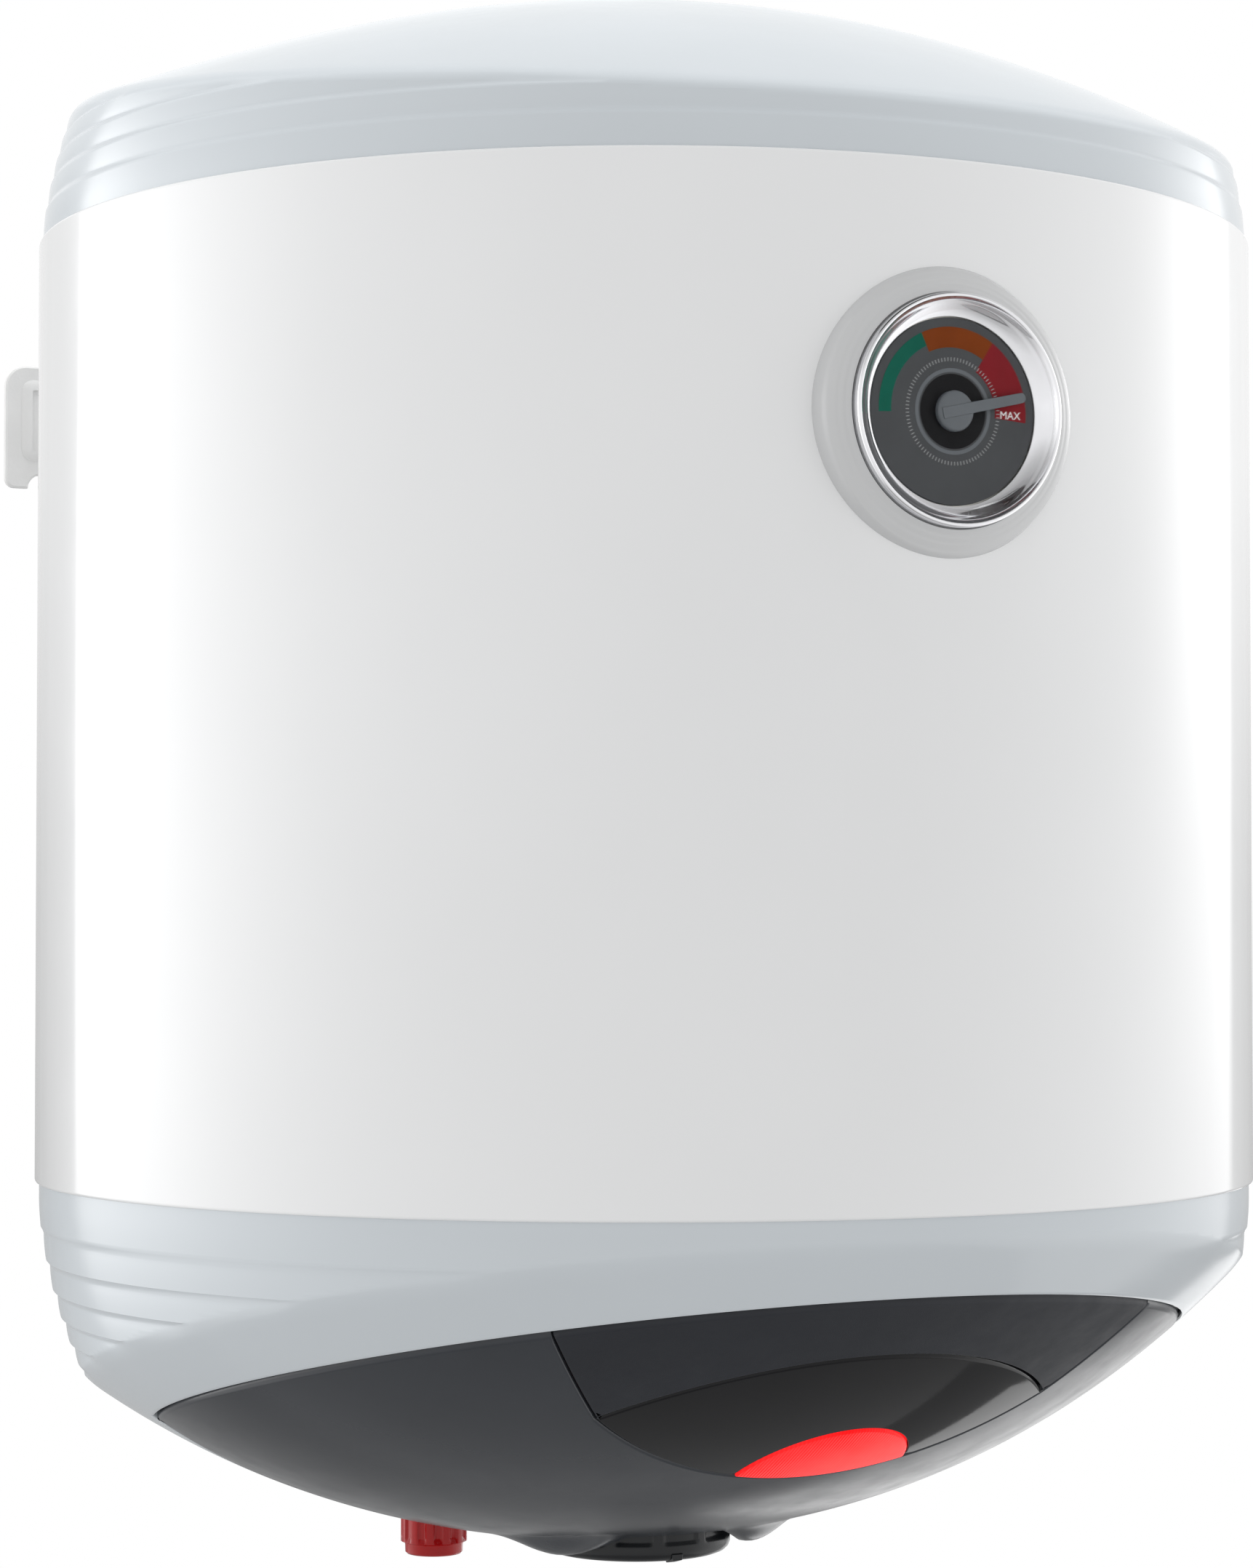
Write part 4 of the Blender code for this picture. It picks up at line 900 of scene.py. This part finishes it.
def port_shell(name, side, paint, body, node, slot):
    """A fluted transport cap. Side is -1 for the left pipe and 1 for the right one."""
    grip, low = PORT_CAP_RADIUS, PORT_CAP_LOW_Z
    columns = []
    for angle in wheel(12 * 14):
        cell = (angle % radians(30)) - radians(15)
        flute = soft_box(cell * grip, 0.0010, 0.0011)
        column = [(0, 0.0004), (0.0060, 0.0003), (grip - 0.0036, 0.0), (grip - 0.0024, 0.0002),
                  (grip - 0.0017, 0.0009), (grip - 0.0016, 0.0036), (grip - 0.0014, 0.0044)]
        for z, share in ((0.0050, 0.0), (0.0058, 0.35), (0.0066, 0.8), (0.0074, 1.0), (0.0120, 1.0),
                         (0.0170, 1.0), (0.0200, 1.0), (0.0206, 1.0)):
            column.append((grip - 0.0010 * flute * share, z))
        column += [(grip - 0.0004 - 0.0010 * flute, 0.0211), (grip - 0.0012 - 0.0006 * flute, 0.0215),
                   (PIPE_RADIUS + 0.0003, 0.0215), (PIPE_RADIUS + 0.0003, 0.0036), (0, 0.0036)]
        columns.append([Vector((side * PIPE_X + r * sin(angle), PIPE_Y + r * cos(angle), low + z))
                        for r, z in column])
    piece(name, *strips(columns, False), paint, body=body, stands_for=[node], slot=slot, limit=40)


# ---------------------------------------------------------------- temperature gauge
GAUGE = Vector((0, -JACKET_RADIUS, GAUGE_Z))


def gauge_ring(name, profile, paint, closed=True, **more):
    """Spins (radius, height above the jacket's front line) about the gauge's axis."""
    lathe(name, profile, paint, GAUGE, True, 128, closed, **more)


def gauge_collar():
    """Stepped rim whose foot follows the jacket."""
    columns = []
    for angle in wheel(144):

        def foot(r, lift):
            x = r * cos(angle)
            return (r, sqrt(JACKET_RADIUS**2 - x**2) - JACKET_RADIUS + lift)

        profile = [foot(0.0338, -0.0010), (0.0338, 0.0036), (0.0384, 0.0048), (0.0386, 0.0055),
                   (0.0394, 0.0053),
                   (0.0400, 0.0047), (0.0408, 0.0044), (0.0416, 0.0042), (0.0422, 0.0036),
                   (0.0430, 0.0033), (0.0438, 0.0030), (0.0446, 0.0023), (0.0454, 0.0019)]
        edge = foot(0.0474, 0.0)[1]
        for share in (0.25, 0.55, 0.8, 1.0):
            profile.append((0.0454 + 0.0020 * share, 0.0019 + (edge + 0.0002 - 0.0019) * share**1.6))
        profile += [foot(0.0474, -0.0010)]
        columns.append([GAUGE + Vector((r * cos(angle), -w, r * sin(angle))) for r, w in profile])
    # The collar's paint is its white plastic darkened as painted shade.
    piece("gauge_rim", *strips(columns, True), collar_plastic_with_painted_shade, stands_for=["gauge_collar"],
          slot="jacket_white", limit=60)


def sector(name, inner, outer, start, end, paint, lift, steps=48, thick=0.00006):
    """A thin printed band between two radii and two angles in degrees, anticlockwise from the right."""
    verts, faces = [], []
    for w in (lift, lift + thick):
        for i in range(steps + 1):
            angle = radians(start + (end - start) * i / steps)
            for r in (inner, outer):
                verts.append(GAUGE + Vector((r * cos(angle), -w, r * sin(angle))))
    row = 2 * (steps + 1)
    for i in range(steps):
        a, b, c, d = 2 * i, 2 * i + 1, 2 * i + 3, 2 * i + 2
        faces += [(a, b, c, d), (a + row, d + row, c + row, b + row),
                  (a, d, d + row, a + row), (b, b + row, c + row, c)]
    if end - start < 360:
        last = 2 * steps
        faces += [(0, row, row + 1, 1), (last, last + 1, last + 1 + row, last + row)]
    piece(name, verts, faces, paint, slot="dial_face")


def tick_ring(count, inner, outer, width, paint, lift, thick=0.00005):
    verts, faces = [], []
    for angle in wheel(count):
        along, across = Vector((cos(angle), 0, sin(angle))), Vector((-sin(angle), 0, cos(angle)))
        base = len(verts)
        for w in (lift, lift + thick):
            for r, s in ((inner, -1), (outer, -1), (outer, 1), (inner, 1)):
                verts.append(GAUGE + along * r + across * s * width / 2 + Vector((0, -w, 0)))
        faces += [(base, base + 1, base + 2, base + 3), (base + 7, base + 6, base + 5, base + 4)]
        for k in range(4):
            m = (k + 1) % 4
            faces.append((base + k, base + 4 + k, base + 4 + m, base + m))
    piece("dial_ticks", verts, faces, paint, slot="dial_face")


def flat_text(name, words, size, centre, turn, paint, slot, thick=0.00006):
    """Generic lettering as a thin solid, centred and facing along its turned +Z."""
    curve = bpy.data.curves.new(name, "FONT")
    curve.body = words
    curve.size = size
    curve.align_x, curve.align_y = "CENTER", "CENTER"
    curve.extrude = thick / 2
    holder = show(name, curve)
    holder.matrix_world = Matrix.Translation(ORIGIN + centre) @ turn
    bpy.context.view_layer.update()
    mesh = evaluated(holder)
    mesh.transform(holder.matrix_world)
    bpy.data.objects.remove(holder)
    mesh.materials.clear()
    settle(name, mesh, paint, "heater", (), slot)


def gauge():
    """The gauge's rim, lens, dial with its print, and pointer."""
    gauge_collar()
    outer = [(0.0352, 0.0064), (0.0362, 0.0070), (0.0366, 0.0086), (0.0369, 0.0089), (0.0375, 0.0089),
             (0.0380, 0.0085), (0.0381, 0.0078), (0.0381, 0.0050)]
    cone = [(0.0309, 0.0032), (0.0311, 0.0033), (0.0320, 0.0037), (0.0334, 0.0047), (0.0345, 0.0057)]
    gauge_ring("bezel_ring", cone + outer + [(0.0336, 0.0039), (0.0332, 0.0034)], chrome,
               stands_for=["gauge_bezel"], slot="bezel_chrome", limit=50)
    dome = [(0, 0.0088), (0.0120, 0.00875), (0.0220, 0.0085), (0.0300, 0.0082), (0.0362, 0.0078),
            (0.0362, 0.0073), (0.0250, 0.0075), (0, 0.0076)]
    gauge_ring("clear_cover", dome, clear_lens, False, stands_for=["gauge_lens"], slot="gauge_glass",
               limit=60)
    face = [(0.0013, 0.0022), (0.0305, 0.0022), (0.0305, 0.0029), (0.0303, 0.0031), (0.0013, 0.0031)]
    gauge_ring("dial_plate", face, dial_paint, stands_for=["gauge_dial"], slot="dial_face")
    print_at, r = 0.00311, DIAL_RADIUS
    sector("green_band", 0.75 * r, 0.90 * r, 115, 183, green_print, print_at)
    sector("orange_band", 0.68 * r, 0.90 * r, 57, 115, orange_print, print_at)
    sector("red_band", 0.52 * r, 0.90 * r, -5, 57, red_print, print_at)
    sector("light_ring", 0.42 * r, 0.46 * r, 0, 360, pointer_paint, print_at, 96)
    sector("black_ring", 0.10 * r, 0.40 * r, 0, 360, black_print, print_at, 96)
    tick_ring(90, 0.535 * r, 0.575 * r, 0.00030, ring_print, print_at + 0.00002)
    upright = Matrix.Rotation(radians(90), 4, "X")
    spot = GAUGE + Vector((0.705 * r, -print_at - 0.00009, -0.012 * r))
    flat_text("dial_max", "MAX", 0.0036, spot, upright, white_print, "dial_face")
    pointer()


def pointer():
    """A tapered arm with a round end, laid over a domed hub."""
    hub = [(0, 0.0056), (0.0040, 0.0056), (0.0058, 0.0055), (0.0065, 0.0052), (0.0067, 0.0047),
           (0.0067, 0.0035), (0.0010, 0.0035), (0.0010, 0.0012), (0, 0.0012)]
    gauge_ring("pointer_hub", hub, pointer_paint, False, body="pointer", stands_for=["gauge_pointer"],
               slot="pointer", limit=50)
    reach, tip_radius = 0.87 * DIAL_RADIUS, 0.0017
    tail_x, tail_half = -0.0052, 0.0019
    outline = [(tail_x, tail_half)]
    for i in range(13):
        t = pi * i / 12
        outline.append((reach - tip_radius + tip_radius * sin(t), tip_radius * cos(t)))
    outline.append((tail_x, -tail_half))
    turn = Matrix.Rotation(radians(-POINTER_ANGLE), 4, "Y")
    verts = []
    for w in (0.0049, 0.0059):
        verts += [GAUGE + turn @ Vector((x, -w, z)) for x, z in outline]
    count = len(outline)
    faces = [tuple(range(count)), tuple(range(2 * count - 1, count - 1, -1))]
    faces += [(i, (i + 1) % count, count + (i + 1) % count, count + i) for i in range(count)]
    arm = piece("pointer_arm", verts, faces, pointer_paint, body="pointer", slot="pointer")
    soften(arm, 0.00018, 2)


# ---------------------------------------------------------------- wall bracket and gland
def bands(rings):
    """Faces between rings of equal length, each a list of places in a list of points."""
    faces = []
    for low, high in zip(rings, rings[1:]):
        for i in range(len(low)):
            j = (i + 1) % len(low)
            faces.append((low[i], low[j], high[j], high[i]))
    return faces


def bracket_outline():
    """The plate's outline, with rounded upper corners and a hooked tab at each lower end."""
    half, high = 0.1775, 0.0223
    corner_radius, foot_radius, tab, drop = 0.0085, 0.0040, 0.0090, 0.0056
    right = []
    for i in range(9):
        t = pi / 2 * i / 8
        right.append(Vector((half - corner_radius + corner_radius * sin(t),
                             high - corner_radius + corner_radius * cos(t))))
    quarter = [pi / 2 * i / 6 for i in range(7)]
    right += [Vector((half - foot_radius + foot_radius * cos(t),
                      -high - drop + foot_radius - foot_radius * sin(t))) for t in quarter]
    right += [Vector((half - tab - 0.0005 - drop * (1 - cos(t)), -high - drop + drop * sin(t)))
              for t in quarter]
    outline = anticlockwise(right + [Vector((-p.x, p.y)) for p in right[::-1]])
    pocket = rounded_rectangle(half - 0.0065, high - 0.0055, 0.0050)
    return resample(outline, 0.004), resample(pocket, 0.004)


def wall_bracket():
    """Stamped plate with keyholes and a raised middle, on two spacers."""
    outline, pocket = bracket_outline()
    thick, edge, rise = 0.0030, 0.0007, 0.0012
    bracket_at = Vector((0, BRACKET_REAR_Y, BRACKET_Z))

    def stack(levels):
        verts, rings = [], []
        for ring, y in levels:
            rings.append(list(range(len(verts), len(verts) + len(ring))))
            verts += [bracket_at + Vector((p.x, y, p.y)) for p in ring]
        return verts, rings

    verts, rings = stack([(outline, 0.0), (outline, edge - thick), (inset(outline, edge), -thick)])
    faces = bands(rings) + [tuple(rings[0]), tuple(rings[2])]
    plate_made = piece("bracket_plate", verts, faces, bracket_paint, stands_for=["wall_bracket"],
                       slot="bracket_paint")
    tools = []
    for side in (-1, 1):
        tools += [drill((side * BOLT_X, 0, BRACKET_Z), 0.0046, 0.20, 0.25, "Y"),
                  drill((side * KEYHOLE_X, 0, 0.292), 0.0090, 0.20, 0.25, "Y"),
                  block(Vector((side * KEYHOLE_X - 0.005, 0.225, 0.294)),
                        Vector((side * KEYHOLE_X + 0.005, 0.245, 0.310)))]
    cut(plate_made, *tools)
    inner = inset(pocket, 0.0014)
    top = inset(inner, 0.0030)
    verts, rings = stack([(pocket, 0.0002 - thick), (pocket, -thick - 0.0001), (inner, -thick - rise),
                          (top, -thick - rise), (top, 0.0002 - thick)])
    piece("bracket_emboss", verts, bands(rings + rings[:1]), bracket_paint, slot="bracket_paint",
          limit=50)
    near = sqrt(JACKET_RADIUS**2 - 0.0815**2) + 0.0003
    ring = [(0.0046, near), (0.0080, near), (0.0085, near + 0.0005), (0.0085, 0.2330),
            (0.0046, 0.2330)]
    for side, name in ((-1, "left"), (1, "right")):
        spacer = lathe(f"bracket_spacer_{name}", ring, zinc, (side * BOLT_X, 0, BRACKET_Z), None, 48,
                       slot="bracket_paint")
        spin_to_back(spacer, side)


def spin_to_back(made, side):
    """Turns a piece made about Z so that it stands towards the back instead."""
    pivot = Matrix.Translation(ORIGIN + Vector((side * BOLT_X, 0, BRACKET_Z)))
    made.data.transform(pivot @ Matrix.Rotation(radians(-90), 4, "X") @ pivot.inverted())


def rounded_rectangle(half_x, half_z, radius):
    points = []
    for cx, cz, start in ((1, 1, 0), (-1, 1, 90), (-1, -1, 180), (1, -1, 270)):
        for i in range(7):
            t = radians(start + 15 * i)
            points.append(Vector((cx * (half_x - radius) + radius * cos(t),
                                  cz * (half_z - radius) + radius * sin(t))))
    return points


def gland():
    seat = bowl_z(0, GLAND_Y)
    profile = [(0, seat - 0.0010), (0.0030, seat - 0.0008), (0.0042, seat - 0.0004),
               (0.0042, seat - 0.0038), (0.0046, seat - 0.0045), (0.0080, seat - 0.0045),
               (0.0098, seat - 0.0040), (0.0108, seat - 0.0030), (0.0108, seat - 0.0016),
               (GLAND_RADIUS - 0.0003, seat - 0.0012), (GLAND_RADIUS - 0.0003, seat + 0.0120),
               (0.0042, seat + 0.0120), (0.0042, seat + 0.0009), (0, seat + 0.0009)]
    lathe("gland_ring", profile, rubber, (0, GLAND_Y, 0), None, 64, False, stands_for=["cable_gland"],
          slot="rubber", limit=40)


def carried_over():
    """Finishes for the CAD nodes that stay as they are."""
    paints = (
        (zinc, ["bracket_bolt_left", "bracket_bolt_right", "cold_inlet_pipe", "hot_outlet_pipe",
                "cover_screw_left", "cover_screw_right", "flange_plate", "gauge_body",
                "thermostat_spindle"] + [f"flange_bolt_{i}" for i in range(1, 7)]),
        (copper, ["heating_element", "thermostat_probe"]),
        (magnesium, ["anode_rod"]),
        (rubber, ["flange_gasket"]),
        (tank_enamel, ["inner_tank"]),
        (foam, ["insulation"]),
        (ivory_plastic, ["thermostat_body"]),
        (red_plastic, ["reset_button"]),
        (blue_plastic, ["inlet_diffuser"]),
        (lamp_red, ["pilot_lamp"]))
    for paint, names in paints:
        for name in names:
            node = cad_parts[name]
            node.data.materials.clear()
            node.data.materials.append(paint)


# ---------------------------------------------------------------- camera, floor and light
YAW = radians(26.0)
RIGHT = Vector((cos(YAW), -sin(YAW), 0))
AHEAD = Vector((sin(YAW), cos(YAW), 0))
UP = Vector((0, 0, 1))
DISTANCE = 1.4611
EYE_Z = 0.0991
# A ramp's colours go up to 1, so it holds each tone as a share of this.
FULL_TONE = 4
# Brightness of the light that arrives from each direction, as (place, tone). The LIGHT tables go from
# behind the heater (0) round to the camera (1), and the others from straight down (0) to up (1).
# The REACH tables say how much of the side panels is left at a height, in place of an even tone of 1.
LEFT_LIGHT = ((0.0, 0.55), (0.06, 0.42), (0.12, 0.36), (0.17, 0.45), (0.18, 1.90), (0.24, 2.60),
              (0.30, 2.70), (0.45, 2.56), (0.60, 1.94), (0.75, 1.32), (0.88, 1.03), (1.0, 0.98))
RIGHT_LIGHT = ((0.0, 0.55), (0.10, 0.65), (0.12, 1.80), (0.25, 1.80), (0.40, 1.52), (0.55, 1.26),
               (0.70, 1.06), (0.85, 0.95), (1.0, 0.98))
LEFT_REACH = ((0.0, 0.4), (0.36, 0.4), (0.45, 1.0), (0.60, 1.0), (0.68, 0.4), (1.0, 0.4))
RIGHT_REACH = ((0.0, 0.5), (0.15, 1.0), (0.61, 1.0), (0.71, 0.4), (1.0, 0.4))
FRONT_HEIGHTS = ((0.0, 0.02), (0.06, 0.02), (0.07, 0.55), (0.20, 0.85), (0.50, 1.00), (0.68, 0.92),
                 (0.80, 0.60), (0.93, 0.40), (0.94, 0.02), (1.0, 0.02))
BACK_HEIGHTS = ((0.0, 0.30), (0.36, 0.55), (0.44, 0.80), (0.465, 0.90), (0.50, 1.05), (0.56, 1.60),
                (0.61, 1.70), (0.70, 1.05), (0.80, 0.85), (1.0, 0.40))


def camera():
    pitch, pan = radians(1.844), radians(-0.249)
    data = bpy.data.cameras.new("camera")
    data.sensor_width = 36.0
    data.lens = 89.52
    data.clip_start, data.clip_end = 0.05, 60.0
    made = show("camera", data)
    look = RIGHT * (sin(pan) * cos(pitch)) + AHEAD * (cos(pan) * cos(pitch)) + UP * sin(pitch)
    made.location = ORIGIN - AHEAD * DISTANCE + UP * EYE_Z
    made.rotation_mode = "QUATERNION"
    made.rotation_quaternion = look.to_track_quat("-Z", "Y")
    bpy.context.scene.camera = made


def softbox(name, spot, width, height, radiance, mirrored):
    """A soft area light that points at the heater's middle, unseen but for its reflections."""
    middle = ORIGIN + UP * 0.15
    data = bpy.data.lights.new(name, "AREA")
    data.shape = "RECTANGLE"
    data.size, data.size_y = width, height
    data.energy = radiance * pi * width * height
    made = show(name, data)
    made.location = ORIGIN + spot
    made.rotation_mode = "QUATERNION"
    made.rotation_quaternion = (middle - made.location).to_track_quat("-Z", "Y")
    made.visible_camera, made.visible_glossy = False, mirrored


def tone_ramp(tree, value, tones, full=FULL_TONE):
    """A number read off a table of (place, tone), as a share of full."""
    made = add(tree, "ShaderNodeValToRGB", {"Fac": value})
    for place_at, _ in tones[1:-1]:
        made.color_ramp.elements.new(place_at)
    for stop, (place_at, tone) in zip(made.color_ramp.elements, tones):
        stop.position = place_at
        stop.color = (tone / full, tone / full, tone / full, 1)
    return made.outputs["Color"]


def half_dot(tree, vector, direction):
    """0 to 1 for a direction that points away from the given one to along it."""
    dot = add(tree, "ShaderNodeVectorMath", {0: vector, 1: direction}, operation="DOT_PRODUCT")
    share = add(tree, "ShaderNodeMapRange", {"From Min": -1.0, "Value": dot.outputs["Value"]})
    return share.outputs["Result"]


def panels(tree):
    """The studio walls' tone in each direction, as a share of FULL_TONE squared."""
    vector = add(tree, "ShaderNodeTexCoord").outputs["Generated"]
    level = add(tree, "ShaderNodeVectorMath", {0: vector, 1: (1, 1, 0)}, operation="MULTIPLY")
    compass = add(tree, "ShaderNodeVectorMath", {0: level.outputs["Vector"]}, operation="NORMALIZE")
    facing = half_dot(tree, compass.outputs["Vector"], -AHEAD)
    height = half_dot(tree, vector, UP)
    side = add(tree, "ShaderNodeMath", {0: half_dot(tree, vector, RIGHT), 1: 0.5},
               operation="GREATER_THAN")
    on_right = side.outputs["Value"]
    around = mixed(tree, on_right, tone_ramp(tree, facing, LEFT_LIGHT),
                   tone_ramp(tree, facing, RIGHT_LIGHT))
    reach = mixed(tree, on_right, tone_ramp(tree, height, LEFT_REACH, 1),
                  tone_ramp(tree, height, RIGHT_REACH, 1))
    even = (1 / FULL_TONE, 1 / FULL_TONE, 1 / FULL_TONE, 1)
    around = mixed(tree, reach, even, around)
    front = add(tree, "ShaderNodeMapRange", {"From Min": 0.10, "From Max": 0.45, "Value": facing},
                interpolation_type="SMOOTHSTEP")
    rise = mixed(tree, front.outputs["Result"], tone_ramp(tree, height, BACK_HEIGHTS),
                 tone_ramp(tree, height, FRONT_HEIGHTS))
    return mixed(tree, 1.0, around, rise, blend_type="MULTIPLY")


def floor():
    bm = bmesh.new()
    bmesh.ops.create_circle(bm, cap_ends=True, segments=96, radius=1.0)
    made = show("floor", mesh_from("floor", bm))
    made.location = ORIGIN + Vector((0, 0, -1.20))
    paint, tree, shader = new_material("pale floor")
    fill(tree, shader, {"Base Color": (0.50, 0.50, 0.50, 1), "Roughness": 0.8})
    made.data.materials.append(paint)


def studio():
    """Soft light from walls all round, brightest at the sides, on a white backdrop."""
    world = bpy.data.worlds.new("studio")
    bpy.context.scene.world = world
    world.use_nodes = True
    tree = world.node_tree
    room = tree.nodes["Background"]
    fill(tree, room, {"Strength": FULL_TONE**2, "Color": panels(tree)})
    backdrop = add(tree, "ShaderNodeBackground", {"Color": (1, 1, 1, 1)})
    path = add(tree, "ShaderNodeLightPath")
    chosen = add(tree, "ShaderNodeMixShader", {
        0: path.outputs["Is Camera Ray"], 1: room.outputs["Background"],
        2: backdrop.outputs["Background"]})
    fill(tree, tree.nodes["World Output"], {"Surface": chosen.outputs["Shader"]})
    softbox("top_box", UP * 1.40 + AHEAD * 0.05, 1.3, 1.1, 3.1, False)
    softbox("low_right_box", AHEAD * 1.38 + RIGHT * 0.50 - UP * 0.70, 0.66, 0.86, 0.95, True)
    floor()


bpy.context.scene.view_settings.view_transform = "Standard"
camera()
studio()
jacket()
top_shell()
bottom_shell()
front_inserts()
dark_ledge()
knob_pocket()
knob()
port_shell("hot_cap_shell", -1, red_plastic, "hot_cap", "hot_port_cap", "hot_cap")
port_shell("cold_cap_shell", 1, blue_plastic, "cold_cap", "cold_port_cap", "cold_cap")
gauge()
wall_bracket()
gland()
carried_over()
